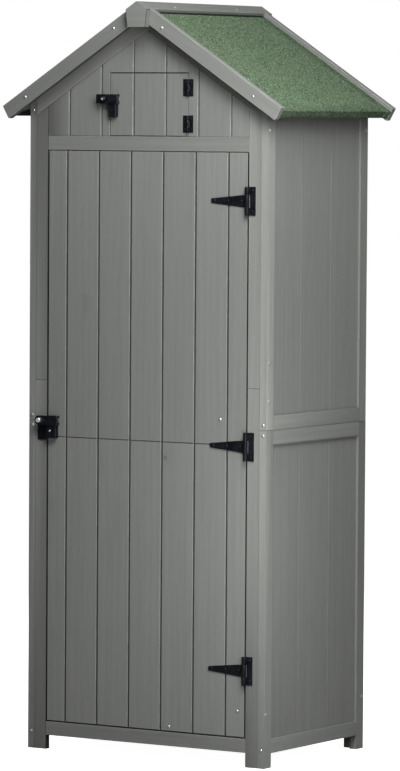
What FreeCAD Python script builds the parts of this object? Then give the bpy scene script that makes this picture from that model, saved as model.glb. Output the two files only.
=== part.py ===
import FreeCAD, Part
import math
import os

import Sketcher
from FreeCAD import Placement, Rotation, Vector

# Garden storage cabinet of stained softwood: flat-pack side, front and back panels, a
# boarded door in two halves on three T-hinges, a small hatch in the gable, three shelves
# and a felted pitched roof. Millimetres; +Z up, +X to the right, the front faces -Y, and
# the origin is on the ground in the middle of the four legs.

doc = FreeCAD.newDocument("GardenCabinet")
sheet = doc.addObject("Spreadsheet::Sheet", "Sizes")
nodes = []


class Size:
    """A number together with the sheet formula that works it out."""

    def __init__(self, value, formula):
        self.value = float(value)
        self.formula = formula

    def __add__(self, other):
        return joined(self, "+", other, self.value + number(other))

    def __radd__(self, other):
        return joined(other, "+", self, number(other) + self.value)

    def __sub__(self, other):
        return joined(self, "-", other, self.value - number(other))

    def __rsub__(self, other):
        return joined(other, "-", self, number(other) - self.value)

    def __mul__(self, other):
        return joined(self, "*", other, self.value * number(other))

    def __rmul__(self, other):
        return joined(other, "*", self, number(other) * self.value)

    def __truediv__(self, other):
        return joined(self, "/", other, self.value / number(other))

    def __rtruediv__(self, other):
        return joined(other, "/", self, number(other) / self.value)

    def __neg__(self):
        return joined(0, "-", self, -self.value)


def number(size):
    """The plain value of a size or a number."""
    return size.value if isinstance(size, Size) else float(size)


def formula(size):
    """The sheet formula of a size or a number."""
    return size.formula if isinstance(size, Size) else repr(float(size))


def joined(left, sign, right, value):
    """Two sizes joined by an arithmetic sign."""
    return Size(value, "(%s %s %s)" % (formula(left), sign, formula(right)))


def given(alias, value, meaning):
    """A driving dimension: one named cell of the sheet."""
    row = given.row
    given.row += 1
    sheet.set("A%d" % row, meaning)
    sheet.set("B%d" % row, str(value))
    sheet.setAlias("B%d" % row, alias)
    return Size(value, "Sizes.%s" % alias)


given.row = 1


def sine(angle):
    return Size(math.sin(math.radians(angle.value)), "sin(%s)" % angle.formula)


def cosine(angle):
    return Size(math.cos(math.radians(angle.value)), "cos(%s)" % angle.formula)


# Overall sizes
total_height = given("total_height", 1790, "ground to the top of the ridge")
body_width = given("body_width", 668, "outer faces of the two side panels")
body_depth = given("body_depth", 456, "front face to back face of the walls")
roof_pitch = given("roof_pitch", 32.5, "slope of the roof in degrees")
side_overhang = given("side_overhang", 57, "tip of a bargeboard beyond the side panels")
front_overhang = given("front_overhang", 36, "bargeboards' outer faces beyond the walls")

# Timber sections
side_stile = given("side_stile", 32, "side panel uprights, front to back")
front_stile = given("front_stile", 33, "front uprights, left to right")
back_stile = given("back_stile", 26, "back uprights, left to right")
rail = given("rail", 33, "height of the cross rails")
header = given("header", 34, "height of the rail over the door")
leg = given("leg", 34, "free height of the legs")
board = given("board", 14, "thickness of the door and gable boards")
frame_deeper = given("frame_deeper", 2, "front and back frames deeper than those boards")
side_board = given("side_board", 10, "thickness of the side and back boards")
side_cover = given("side_cover", 2.5, "side frames behind their boards")
side_recess = given("side_recess", 6, "side boards behind the frame's outer face")
back_recess = given("back_recess", 3, "back boards behind the frame's outer face")
lap = given("lap", 8, "boards lapped behind the frame")
batten = given("batten", 18, "square battens under shelves and roof")
shelf_board = given("shelf_board", 12, "thickness of floor and shelf boards")
joint_play = given("joint_play", 0.3, "play in the timber joints")

# Heights
side_joint = given("side_joint", 792, "lower side and back panels end here")
front_joint = given("front_joint", 889, "lower front uprights end here")
gable_drop = given("gable_drop", 351, "ridge to the underside of the rail over the door")
lower_shelf_top = given("lower_shelf_top", 545, "top of the lower shelf")
middle_shelf_top = given("middle_shelf_top", 1005, "top of the middle shelf")
shelf_setback = given("shelf_setback", 34, "loose shelves behind the front face")

# Tongued and grooved boards
board_pitch = given("board_pitch", 90.7, "one board to the next")
bevel = given("bevel", 2.6, "bevel beside each joint")
tongue = given("tongue", 5, "reach of a tongue")
tongue_thick = given("tongue_thick", 4, "thickness of a tongue")
gable_shift = given("gable_shift", 6.4, "gable joints right of the door joints")
least_strip = given("least_strip", 15, "narrowest strip of board at an edge")

# Roof
cap_thick = given("cap_thick", 8, "ridge boards")
cap_width = given("cap_width", 33, "ridge boards down the slope")
felt_thick = given("felt_thick", 2, "mineral felt")
felt_lip = given("felt_lip", 24, "felt turned under the eave")
deck_thick = given("deck_thick", 14, "roof boards")
eave_setback = given("eave_setback", 3, "felt edge behind the bargeboard ends")
barge_width = given("barge_width", 33, "bargeboards across the slope")
barge_thick = given("barge_thick", 16, "bargeboards front to back")
barge_drop = given("barge_drop", 3.4, "bargeboard top below the ridge boards' top")
barge_round = given("barge_round", 4, "rounded lower corner of a bargeboard")
slope_rail = given("slope_rail", 32, "sloping gable rails across the slope")
apex_thick = given("apex_thick", 16, "six-sided plates at the ridge ends")
apex_shoulder = given("apex_shoulder", 30, "half width of the plates at the shoulder")
apex_foot = given("apex_foot", 25.5, "half width of the plates at the foot")
apex_height = given("apex_height", 61, "height of the plates")

# Door
door_gap = given("door_gap", 3.5, "door to the uprights")
door_end_gap = given("door_end_gap", 3, "door to the rails above and below")
door_joint = given("door_joint", 754, "upper and lower halves of the door meet")
ledge = given("ledge", 70, "height of the door's ledges")
ledge_thick = given("ledge_thick", 14, "ledges front to back")
ledge_inset = given("ledge_inset", 16, "ledges in from the door's edge")
muntin = given("muntin", 34, "upright battens between the ledges")
stop_thick = given("stop_thick", 12, "door stops front to back")
stop_reach = given("stop_reach", 10, "door stops past the uprights")

# Hatch
hatch_width = given("hatch_width", 221, "hatch opening")
hatch_height = given("hatch_height", 150, "hatch opening above the header")
hatch_shift = given("hatch_shift", 4.2, "hatch right of the centre")
hatch_gap = given("hatch_gap", 1.5, "hatch to its opening")
hatch_batten = given("hatch_batten", 28, "height of the hatch's ledges")

# T-hinges of the door
hinge_low_rise = given("hinge_low_rise", 157, "lowest hinge above the door's foot")
hinge_middle_drop = given("hinge_middle_drop", 2, "middle hinge below the door joint")
hinge_top_drop = given("hinge_top_drop", 111, "top hinge below the door's top")
leaf = given("leaf", 2, "hinge metal")
knuckle = given("knuckle", 5.5, "hinge knuckle radius")
pin = given("pin", 3, "hinge pin radius")
knuckle_stand = given("knuckle_stand", 0.4, "knuckles in front of the timber")
pin_fit = given("pin_fit", 0.06, "pin to knuckle, all hinges")
knuckle_gap = given("knuckle_gap", 0.5, "knuckle to knuckle")
strap_length = given("strap_length", 101, "pin to the tip of the strap")
strap_root = given("strap_root", 29, "strap at the knuckle")
strap_tip = given("strap_tip", 10, "strap at the tip")
strap_straight = given("strap_straight", 10, "pin to where the strap starts to taper")
strap_round = given("strap_round", 3, "rounded corners of the strap's tip")
strap_hole_root = given("strap_hole_root", 18, "pin to the first screw hole of a strap")
plate_width = given("plate_width", 20.5, "pin to the plate's outer edge")
plate_height = given("plate_height", 67, "hinge plate on the upright")
hole_edge = given("hole_edge", 10, "screw holes in from the end of a strap or plate")
screw_hole = given("screw_hole", 2.2, "radius of the screw holes in the ironwork")

# Butt hinges of the hatch
butt_low_rise = given("butt_low_rise", 30, "lower butt hinge above the rail")
butt_high_rise = given("butt_high_rise", 115, "upper butt hinge above the rail")
butt_height = given("butt_height", 40, "height of a butt hinge")
butt_leaf = given("butt_leaf", 13.8, "pin to the leaf's outer edge")
butt_metal = given("butt_metal", 1.6, "butt hinge metal")
butt_knuckle = given("butt_knuckle", 3, "butt hinge knuckle radius")
butt_pin = given("butt_pin", 1.5, "butt hinge pin radius")
butt_hole_edge = given("butt_hole_edge", 7.6, "screw holes in from the end of a leaf")

# Hasps and staples
bar_height = given("bar_height", 22, "hasp bar")
bar_thick = given("bar_thick", 3, "hasp bar metal")
hasp_stand = given("hasp_stand", 12, "pressed base in front of the boards")
hasp_drop = given("hasp_drop", 32, "base below the bar")
hasp_knuckle = given("hasp_knuckle", 4, "hasp knuckle radius")
hasp_pin = given("hasp_pin", 2, "hasp pin radius")
hasp_bite = given("hasp_bite", 0.5, "hasp knuckles let into the corner of the base")
base_round = given("base_round", 3, "rounded corners of a hasp's base")
base_bevel = given("base_bevel", 1.5, "pressed slope around the front of the base")
iron_round = given("iron_round", 2, "rounded corners of the small ironwork")
round_land = given("round_land", 0.4, "flat left between two rounded corners")
post_radius = given("post_radius", 6, "staple post")
post_play = given("post_play", 1.5, "hole in the bar around the post")
post_reach = given("post_reach", 8, "post in front of the bar")
post_bevel = given("post_bevel", 1, "bevel around the post's tip")
lock_hole = given("lock_hole", 2.6, "radius of the padlock hole in the post")
staple_metal = given("staple_metal", 2, "staple plates")
staple_edge = given("staple_edge", 1, "staple plates in from the edge they stand beside")
door_staple_width = given("door_staple_width", 24, "staple plate beside the door")
door_staple_height = given("door_staple_height", 55, "staple plate beside the door")
door_staple_drop = given("door_staple_drop", 4, "staple plate beside the door, below the bar's top")
hatch_staple_width = given("hatch_staple_width", 23, "staple plate beside the hatch")
hatch_staple_height = given("hatch_staple_height", 20, "staple plate beside the hatch")
door_bar_rise = given("door_bar_rise", 28, "underside of the door's hasp bar above the joint")
door_base_width = given("door_base_width", 29, "base of the door's hasp")
door_bar_reach = given("door_bar_reach", 48, "pin to post, door")
door_bar_end = given("door_bar_end", 13.5, "post to the end of the bar, door")
hatch_bar_rise = given("hatch_bar_rise", 77, "underside of the hatch's hasp bar above the rail")
hatch_base_width = given("hatch_base_width", 22, "base of the hatch's hasp")
hatch_bar_reach = given("hatch_bar_reach", 34, "pin to post, hatch")
hatch_bar_end = given("hatch_bar_end", 22.5, "post to the end of the bar, hatch")

# Frame screws
screw_low = given("screw_low", 127, "lower frame screws above the ground")
screw_high_rise = given("screw_high_rise", 17, "upper frame screws above the rail")
screw_radius = given("screw_radius", 2, "frame screw shank")
screw_head = given("screw_head", 4, "frame screw head radius")
screw_head_thick = given("screw_head_thick", 1.4, "frame screw head")
screw_length = given("screw_length", 34, "frame screw under the head")
screw_fit = given("screw_fit", 0.05, "shank to its drilled hole")

# Places worked out from the driving dimensions
half_width = body_width / 2
half_depth = body_depth / 2
roof_half_width = half_width + side_overhang
roof_half_depth = half_depth + front_overhang
side_thick = side_recess + side_board + side_cover
front_thick = board + frame_deeper
inner_x = half_width - side_thick
opening_x = inner_x - front_stile
back_opening_x = inner_x - back_stile
frame_back = half_depth - front_thick
rail_top = leg + rail
header_foot = total_height - gable_drop
header_top = header_foot + header
door_foot = rail_top + door_end_gap
door_top = header_foot - door_end_gap
hinge_low = door_foot + hinge_low_rise
hinge_middle = door_joint - hinge_middle_drop
hinge_top = door_top - hinge_top_drop
butt_low = header_top + butt_low_rise
butt_high = header_top + butt_high_rise
slope_sine = sine(roof_pitch)
slope_cosine = cosine(roof_pitch)
slope_tangent = slope_sine / slope_cosine
felt_under = cap_thick + felt_thick
deck_under = felt_under + deck_thick
wall_under = deck_under + joint_play
boards_under = wall_under + slope_rail


def slope_point(depth, along, side=1):
    """A point of the roof's section: depth under the ridge boards' top, along the slope."""
    across = along * slope_cosine - depth * slope_sine
    up = total_height - along * slope_sine - depth * slope_cosine
    return (side * across, up)


def ridge_point(depth):
    """Where a layer of the roof crosses the middle plane."""
    return (0, total_height - depth / slope_cosine)


def layer_height(depth, across):
    """Height of a roof layer at a distance from the middle plane."""
    return total_height - depth / slope_cosine - across * slope_tangent


# Ways to make a piece

def bind(thing, prop, size):
    """Tie a property to the sheet."""
    thing.setExpression(prop, formula(size))


def stick(name, x, y, z, length, width, height):
    """A straight squared piece: its low corner, then its sizes along X, Y and Z."""
    piece = doc.addObject("Part::Box", name)
    bind(piece, "Placement.Base.x", x)
    bind(piece, "Placement.Base.y", y)
    bind(piece, "Placement.Base.z", z)
    bind(piece, "Length", length)
    bind(piece, "Width", width)
    bind(piece, "Height", height)
    return piece


def low(side, near, far):
    """Low X of a span that lies from near to far on one side of the middle plane."""
    return near if side > 0 else -far


AXIS_TURN = {"X": Rotation(Vector(0, 1, 0), 90), "Y": Rotation(Vector(1, 0, 0), -90), "Z": Rotation()}


def rod(name, x, y, z, radius, length, axis="Z"):
    """A round piece that starts at a point and runs along +X, +Y or +Z."""
    piece = doc.addObject("Part::Cylinder", name)
    piece.Placement = Placement(Vector(), AXIS_TURN[axis])
    bind(piece, "Placement.Base.x", x)
    bind(piece, "Placement.Base.y", y)
    bind(piece, "Placement.Base.z", z)
    bind(piece, "Radius", radius)
    bind(piece, "Height", length)
    return piece


def fixed_point(sketch, geometry, vertex, across, up):
    """Place one point of a sketch by two distances from the origin."""
    for kind, size in (("DistanceX", across), ("DistanceY", up)):
        value = number(size)
        index = sketch.addConstraint(
            Sketcher.Constraint(kind, -1, 1, geometry, vertex, value))
        sketch.setExpression("Constraints[%d]" % index, formula(size))


def draw(sketch, corners, holes):
    """Straight sides through the corners, and round holes given as centre and radius."""
    count = len(corners)
    points = [Vector(number(across), number(up), 0) for across, up in corners]
    for i in range(count):
        sketch.addGeometry(Part.LineSegment(points[i], points[(i + 1) % count]), False)
    for i in range(count):
        sketch.addConstraint(Sketcher.Constraint("Coincident", i, 2, (i + 1) % count, 1))
    for i, (across, up) in enumerate(corners):
        fixed_point(sketch, i, 1, across, up)
    for across, up, radius in holes:
        centre = Vector(number(across), number(up), 0)
        circle = sketch.addGeometry(Part.Circle(centre, Vector(0, 0, 1), number(radius)), False)
        fixed_point(sketch, circle, 3, across, up)
        index = sketch.addConstraint(Sketcher.Constraint("Radius", circle, number(radius)))
        sketch.setExpression("Constraints[%d]" % index, formula(radius))


def profile(name, plane, corners, start, length, holes=()):
    """A body padded from an outline: plane XY runs up, XZ runs back, YZ runs right."""
    body = doc.addObject("PartDesign::Body", name)
    sketch = body.newObject("Sketcher::SketchObject", name + "_outline")
    draw(sketch, corners, holes)
    for plane_feature in body.Origin.OriginFeatures:
        if plane_feature.Role == plane + "_Plane":
            sketch.AttachmentSupport = [(plane_feature, "")]
    sketch.MapMode = "FlatFace"
    backward = plane == "XZ"
    bind(sketch, "AttachmentOffset.Base.z", -start if backward else start)
    pad = body.newObject("PartDesign::Pad", name + "_pad")
    pad.Profile = sketch
    pad.Reversed = backward
    bind(pad, "Length", length)
    sketch.Visibility = False
    return body


def rounded(body, corners, radius, plane="XZ"):
    """Round the edges of a body that stand on the given corners of its outline."""
    doc.recompute()
    tip = body.Tip
    names = []
    for index, edge in enumerate(tip.Shape.Edges):
        first, last = edge.Vertexes[0].Point, edge.Vertexes[-1].Point
        for across, up in corners:
            if all(on_corner(point, number(across), number(up), plane) for point in (first, last)):
                names.append("Edge%d" % (index + 1))
    fillet = body.newObject("PartDesign::Fillet", body.Name + "_round")
    fillet.Base = (tip, names)
    bind(fillet, "Radius", radius)
    body.Tip = fillet
    return body


def bevelled_front(body, face_y, size):
    """Bevel the edges around the front face of a body."""
    doc.recompute()
    tip = body.Tip
    names = []
    for index, edge in enumerate(tip.Shape.Edges):
        if all(abs(vertex.Point.y - number(face_y)) < 1e-4 for vertex in edge.Vertexes):
            names.append("Edge%d" % (index + 1))
    chamfer = body.newObject("PartDesign::Chamfer", body.Name + "_bevel")
    chamfer.Base = (tip, names)
    bind(chamfer, "Size", size)
    body.Tip = chamfer
    return body


def on_corner(point, across, up, plane):
    """Whether a point stands on a corner of an outline drawn on the given plane."""
    spots = {"XZ": (point.x, point.z), "YZ": (point.y, point.z), "XY": (point.x, point.y)}
    spot = spots[plane]
    return abs(spot[0] - across) < 1e-4 and abs(spot[1] - up) < 1e-4


def cut(name, base, tool):
    piece = doc.addObject("Part::Cut", name)
    piece.Base = base
    piece.Tool = tool
    return piece


def common(name, base, tool):
    piece = doc.addObject("Part::Common", name)
    piece.Base = base
    piece.Tool = tool
    return piece


def fused(name, pieces):
    piece = doc.addObject("Part::MultiFuse", name)
    piece.Shapes = pieces
    return piece


def node(label, pieces):
    """A sub-part of one or more separate solids, under its own name."""
    if len(pieces) == 1:
        part = pieces[0]
    else:
        part = doc.addObject("Part::Compound", label)
        part.Links = pieces
    part.Label = label
    nodes.append(part)
    return part


def boards_between(name, axis, start, end, count, x, y, z, length, width, height):
    """Plain boards side by side from start to end along X, Y or Z."""
    pieces = []
    each = (end - start) / count
    for i in range(count):
        place = {"X": x, "Y": y, "Z": z}
        sizes = {"X": length, "Y": width, "Z": height}
        place[axis] = start + each * i + joint_play / 2
        sizes[axis] = each - joint_play
        pieces.append(stick("%s_%d" % (name, i + 1), place["X"], place["Y"], place["Z"],
                            sizes["X"], sizes["Y"], sizes["Z"]))
    return pieces


# Walls end under the roof boards, and wall boards under the sloping rails

def under_roof(name, depth):
    """A block of the whole body's size whose top follows the roof at a given depth."""
    shoulder = layer_height(depth, half_width)
    corners = [(-half_width, 0), (half_width, 0), (half_width, shoulder),
               ridge_point(depth), (-half_width, shoulder)]
    return profile(name, "XZ", corners, -half_depth, body_depth)


wall_block = under_roof("wall_block", wall_under)
board_block = under_roof("board_block", boards_under)

# Frame screws hold the side panels to the front and back frames
screw_heights = [screw_low, header_top + screw_high_rise]


def frame_screw_places():
    """Side, front or back, and height of each frame screw."""
    for side in (-1, 1):
        for face in (-1, 1):
            for height in screw_heights:
                yield side, face * (half_depth - front_thick / 2), height


def screw_rods(name, radius, extra):
    """A rod for the shank of every frame screw, through the side panel and beyond."""
    rods = []
    length = screw_length + extra
    for i, (side, y, z) in enumerate(frame_screw_places()):
        x = half_width - length if side > 0 else -half_width
        rods.append(rod("%s_%d" % (name, i + 1), x, y, z, radius, length, "X"))
    return rods


screw_drill = doc.addObject("Part::Compound", "screw_drill")
screw_drill.Links = screw_rods("drill", screw_radius + screw_fit, 1)


def drilled(piece):
    """A piece with the holes that the frame screws need."""
    return cut(piece.Name + "_drilled", piece, screw_drill)


# Side panels: an upper and a lower frame each, with boards let into the back
SIDE_BOARDS = 3

def side_panel(name, side, foot, stile_foot, top, roofed):
    """One framed panel: two uprights, two rails and the recess for its boards."""
    x = low(side, inner_x, half_width)
    top_rail_foot = top - rail
    stile_top = top + side_thick * slope_tangent if roofed else top
    stile_height = stile_top - stile_foot
    rail_width = body_depth - side_stile * 2
    rail_y = -half_depth + side_stile
    pieces = [
        stick(name + "_front_stile", x, -half_depth, stile_foot, side_thick, side_stile, stile_height),
        stick(name + "_back_stile", x, half_depth - side_stile, stile_foot, side_thick,
              side_stile, stile_height),
        stick(name + "_foot_rail", x, rail_y, foot, side_thick, rail_width, rail),
        stick(name + "_head_rail", x, rail_y, top_rail_foot, side_thick, rail_width,
              stile_top - top_rail_foot),
    ]
    board_foot = foot + rail - lap
    board_top = top_rail_foot + lap
    recess_x = low(side, inner_x, half_width - side_recess)
    recess = stick(name + "_recess", recess_x, rail_y - lap, board_foot,
                   side_thick - side_recess, rail_width + lap * 2, board_top - board_foot)
    framed = []
    for piece in pieces:
        shaped = cut(piece.Name + "_let_in", piece, recess)
        if roofed:
            shaped = common(piece.Name + "_sloped", shaped, wall_block)
        if "stile" in piece.Name:
            shaped = drilled(shaped)
        framed.append(shaped)
    node(name + "_frame", framed)
    board_x = low(side, half_width - side_recess - side_board, half_width - side_recess)
    node(name + "_boards", boards_between(
        name + "_board", "Y", rail_y - lap, -rail_y + lap, SIDE_BOARDS, board_x, 0, board_foot + joint_play,
        side_board, 0, board_top - board_foot - joint_play * 2))


side_top = layer_height(wall_under, half_width)
for side, hand in ((-1, "left"), (1, "right")):
    side_panel(hand + "_side_lower", side, leg, 0, side_joint - joint_play, False)
    side_panel(hand + "_side_upper", side, side_joint, side_joint, side_top, True)

# Front frame: uprights in two lengths, rails under and over the door, sloping rails
lower_stiles = []
upper_stiles = []
for side, hand in ((-1, "left"), (1, "right")):
    x = low(side, opening_x, inner_x)
    lower = stick("front_lower_stile_" + hand, x, -half_depth, 0, front_stile, front_thick,
                  front_joint - joint_play)
    lower_stiles.append(drilled(lower))
    upper = stick("front_upper_stile_" + hand, x, -half_depth, front_joint, front_stile,
                  front_thick, total_height - front_joint)
    upper_stiles.append(drilled(common(upper.Name + "_sloped", upper, board_block)))
node("front_lower_stiles", lower_stiles)
node("front_upper_stiles", upper_stiles)
node("front_bottom_rail", [stick("bottom_rail", -opening_x, -half_depth, leg, opening_x * 2,
                                 front_thick, rail)])
node("front_header_rail", [stick("header_rail", -opening_x, -half_depth, header_foot,
                                 opening_x * 2, front_thick, header)])


def sloping_rails(name, outer, y):
    """The pair of rails under the roof boards, mitred at the ridge."""
    pair = []
    for side, hand in ((-1, "left"), (1, "right")):
        top_depth, foot_depth = wall_under, boards_under - joint_play
        corners = [ridge_point(foot_depth), (side * outer, layer_height(foot_depth, outer)),
                   (side * outer, layer_height(top_depth, outer)), ridge_point(top_depth)]
        pair.append(profile("%s_%s" % (name, hand), "XZ", corners, y, front_thick))
    return pair


node("front_slope_rails", sloping_rails("front_slope_rail", inner_x, -half_depth))


# Tongued and grooved boards with a bevel beside each joint

def tongued_board(name, left, right, foot, top, grooved=True, tongued=True):
    """An upright board; a plain edge has neither bevel nor tongue."""
    face = -half_depth
    back = face + board
    middle = face + board / 2
    right = right - joint_play
    corners = [(left, back)]
    if grooved:
        slot = tongue_thick / 2 + joint_play
        depth = tongue + joint_play
        corners += [(left, middle + slot), (left + depth, middle + slot),
                    (left + depth, middle - slot), (left, middle - slot),
                    (left, face + bevel), (left + bevel, face)]
    else:
        corners += [(left, face)]
    if tongued:
        half = tongue_thick / 2
        corners += [(right - bevel, face), (right, face + bevel), (right, middle - half),
                    (right + tongue, middle - half), (right + tongue, middle + half),
                    (right, middle + half)]
    else:
        corners += [(right, face)]
    corners += [(right, back)]
    return profile(name, "XY", corners, foot, top - foot)


def board_run(name, edges, foot, top):
    """Boards between successive edges, plain at both ends of the run."""
    pieces = []
    for i in range(len(edges) - 1):
        pieces.append(tongued_board("%s_%d" % (name, i + 1), edges[i], edges[i + 1], foot, top,
                                    grooved=i > 0, tongued=i < len(edges) - 2))
    return pieces


MOST_JOINTS = 20


def board_edges(left, right, shift):
    """The ends of a run and its joints, one pitch apart, that leave no narrow strip."""
    joints = [shift + board_pitch * (k + 0.5) for k in range(-MOST_JOINTS, MOST_JOINTS)]
    first = number(left + least_strip)
    last = number(right - least_strip)
    return [left] + [joint for joint in joints if first < number(joint) < last] + [right]


hatch_left = hatch_shift - hatch_width / 2
hatch_right = hatch_shift + hatch_width / 2
hatch_top = header_top + hatch_height

# Gable boards left, right and above the hatch, joined plainly at the hatch's edges
gable_runs = [
    ("gable_left", -opening_x, hatch_left, header_top),
    ("gable_middle", hatch_left, hatch_right, hatch_top),
    ("gable_right", hatch_right, opening_x, header_top),
]
gable_boards = []
for name, left, right, foot in gable_runs:
    for piece in board_run(name, board_edges(left, right, gable_shift), foot, total_height):
        gable_boards.append(common(piece.Name + "_sloped", piece, board_block))
node("front_gable_boards", gable_boards)

# Back: a lower panel on legs and an upper panel up to the roof
BACK_BOARDS = 5
back_x = -back_opening_x
back_face = frame_back


def back_stick(name, x, z, length, height):
    return stick(name, x, back_face, z, length, front_thick, height)


def back_boards(name, foot, top):
    """Boards let into the frame from the inside."""
    depth = half_depth - back_recess - side_board
    return boards_between(name, "X", back_x - lap, back_opening_x + lap, BACK_BOARDS, 0, depth,
                          foot + joint_play, 0, side_board, top - foot - joint_play * 2)


def back_frame(name, members, foot, top, roofed):
    """The squared pieces of a back frame, with the recess for its boards."""
    recess = stick(name + "_recess", back_x - lap, back_face, foot, (back_opening_x + lap) * 2,
                   front_thick - back_recess, top - foot)
    framed = []
    for piece in members:
        shaped = cut(piece.Name + "_let_in", piece, recess)
        if roofed:
            shaped = common(piece.Name + "_sloped", shaped, board_block)
        if "stile" in piece.Name:
            shaped = drilled(shaped)
        framed.append(shaped)
    return framed


lower_members = [
    back_stick("back_lower_stile_left", -inner_x, 0, back_stile, side_joint - joint_play),
    back_stick("back_lower_stile_right", back_opening_x, 0, back_stile, side_joint - joint_play),
    back_stick("back_lower_foot_rail", back_x, leg, back_opening_x * 2, rail),
    back_stick("back_lower_head_rail", back_x, side_joint - joint_play - rail, back_opening_x * 2, rail),
]
lower_foot = rail_top - lap
lower_top = side_joint - joint_play - rail + lap
node("back_lower_frame", back_frame("back_lower", lower_members, lower_foot, lower_top, False))
node("back_lower_boards", back_boards("back_lower_board", lower_foot, lower_top))

upper_members = [
    back_stick("back_upper_stile_left", -inner_x, side_joint, back_stile, total_height - side_joint),
    back_stick("back_upper_stile_right", back_opening_x, side_joint, back_stile, total_height - side_joint),
    back_stick("back_upper_foot_rail", back_x, side_joint, back_opening_x * 2, rail),
    back_stick("back_upper_head_rail", back_x, header_foot, back_opening_x * 2, header),
]
upper_foot = side_joint + rail - lap
upper_top = header_foot + lap
upper_frame = back_frame("back_upper", upper_members, upper_foot, upper_top, True)
node("back_upper_frame", upper_frame + sloping_rails("back_slope_rail", inner_x, back_face))
node("back_upper_boards", back_boards("back_upper_board", upper_foot, upper_top))

gable_back = boards_between("back_gable_board", "X", back_x, back_opening_x, BACK_BOARDS, 0,
                            half_depth - back_recess - side_board, header_top + joint_play,
                            0, side_board, total_height - header_top)
node("back_gable_boards", [common(piece.Name + "_sloped", piece, board_block) for piece in gable_back])

# Floor and shelves
SHELF_BOARDS = 4
shelf_width = (inner_x - joint_play) * 2
inside_depth = frame_back * 2
floor_foot = rail_top - shelf_board
node("floor_boards", boards_between("floor_board", "Y", -frame_back, frame_back, SHELF_BOARDS,
                                    -shelf_width / 2, 0, floor_foot, shelf_width, 0, shelf_board))
bearers = []
bearer_reach = inner_x - batten
for i, x in enumerate((-bearer_reach - batten, -batten / 2, bearer_reach)):
    bearers.append(stick("floor_bearer_%d" % (i + 1), x, -frame_back, floor_foot - batten,
                         batten, inside_depth, batten))
node("floor_bearers", bearers)


def shelf(name, top, front):
    """A shelf of boards that run from side to side."""
    node(name, boards_between(name + "_board", "Y", front, frame_back - joint_play, SHELF_BOARDS,
                              -shelf_width / 2, 0, top - shelf_board, shelf_width, 0, shelf_board))


loose_front = -half_depth + shelf_setback
shelf("lower_shelf", lower_shelf_top, loose_front)
shelf("middle_shelf", middle_shelf_top, loose_front)
shelf("attic_floor", header_top, -frame_back + joint_play)

shelf_bearers = []
for side, hand in ((-1, "left"), (1, "right")):
    x = low(side, inner_x - batten, inner_x)
    for level, top in (("lower", lower_shelf_top), ("middle", middle_shelf_top), ("attic", header_top)):
        shelf_bearers.append(stick("shelf_batten_%s_%s" % (level, hand), x, loose_front,
                                   top - shelf_board - batten, batten,
                                   frame_back - loose_front, batten))
node("shelf_battens", shelf_bearers)

# Strips behind the front uprights that the door closes against
stops = []
for side, hand in ((-1, "left"), (1, "right")):
    x = low(side, opening_x - stop_reach, inner_x - batten - joint_play)
    stops.append(stick("door_stop_" + hand, x, -frame_back, rail_top + joint_play,
                       inner_x - batten - joint_play - opening_x + stop_reach, stop_thick,
                       header_foot - rail_top))
node("door_stops", stops)

# Roof boards, felt, battens and trim
deck_half_depth = roof_half_depth - barge_thick
tip_along = (roof_half_width + barge_drop * slope_sine) / slope_cosine
felt_along = tip_along - eave_setback
deck_along = felt_along - felt_thick
DECK_BOARDS = 5
for side, hand in ((-1, "left"), (1, "right")):
    pieces = []
    for i in range(DECK_BOARDS):
        upper_end = deck_along * (i / DECK_BOARDS)
        lower_end = deck_along * ((i + 1) / DECK_BOARDS)
        if i + 1 < DECK_BOARDS:
            lower_end = lower_end - joint_play
        corners = [slope_point(felt_under, lower_end, side), slope_point(deck_under, lower_end, side)]
        if i == 0:
            corners += [ridge_point(deck_under), ridge_point(felt_under)]
        else:
            corners += [slope_point(deck_under, upper_end, side), slope_point(felt_under, upper_end, side)]
        pieces.append(profile("%s_roof_board_%d" % (hand, i + 1), "XZ", corners,
                              -deck_half_depth, deck_half_depth * 2))
    node(hand + "_roof_deck", pieces)

lip_along = felt_along - felt_lip
lip_depth = deck_under + felt_thick


def felt_edge(side):
    """The felt's section from the ridge over the eave and back to the ridge, one side."""
    outside = [slope_point(cap_thick, felt_along, side), slope_point(lip_depth, felt_along, side),
               slope_point(lip_depth, lip_along, side), slope_point(deck_under, lip_along, side),
               slope_point(deck_under, deck_along, side), slope_point(felt_under, deck_along, side)]
    return outside


felt_outline = [ridge_point(cap_thick)] + felt_edge(1) + [ridge_point(felt_under)]
felt_outline += list(reversed(felt_edge(-1)))
node("roof_felt", [profile("felt_sheet", "XZ", felt_outline, -deck_half_depth, deck_half_depth * 2)])

# Battens under the roof boards fit inside the front and back frames
roof_battens = []
batten_depth = deck_under + batten
batten_reach = inner_x - joint_play
for face, y in (("front", -frame_back + joint_play), ("back", frame_back - joint_play - batten)):
    for side, hand in ((-1, "left"), (1, "right")):
        corners = [ridge_point(deck_under), (side * batten_reach, layer_height(deck_under, batten_reach)),
                   (side * batten_reach, layer_height(batten_depth, batten_reach)),
                   ridge_point(batten_depth)]
        roof_battens.append(profile("roof_batten_%s_%s" % (face, hand), "XZ", corners, y, batten))
node("roof_battens", roof_battens)

for side, hand in ((-1, "left"), (1, "right")):
    corners = [ridge_point(0), slope_point(0, cap_width, side), slope_point(cap_thick, cap_width, side),
               ridge_point(cap_thick)]
    node(hand + "_ridge_board", [profile(hand + "_cap", "XZ", corners, -roof_half_depth,
                                         roof_half_depth * 2)])

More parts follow.
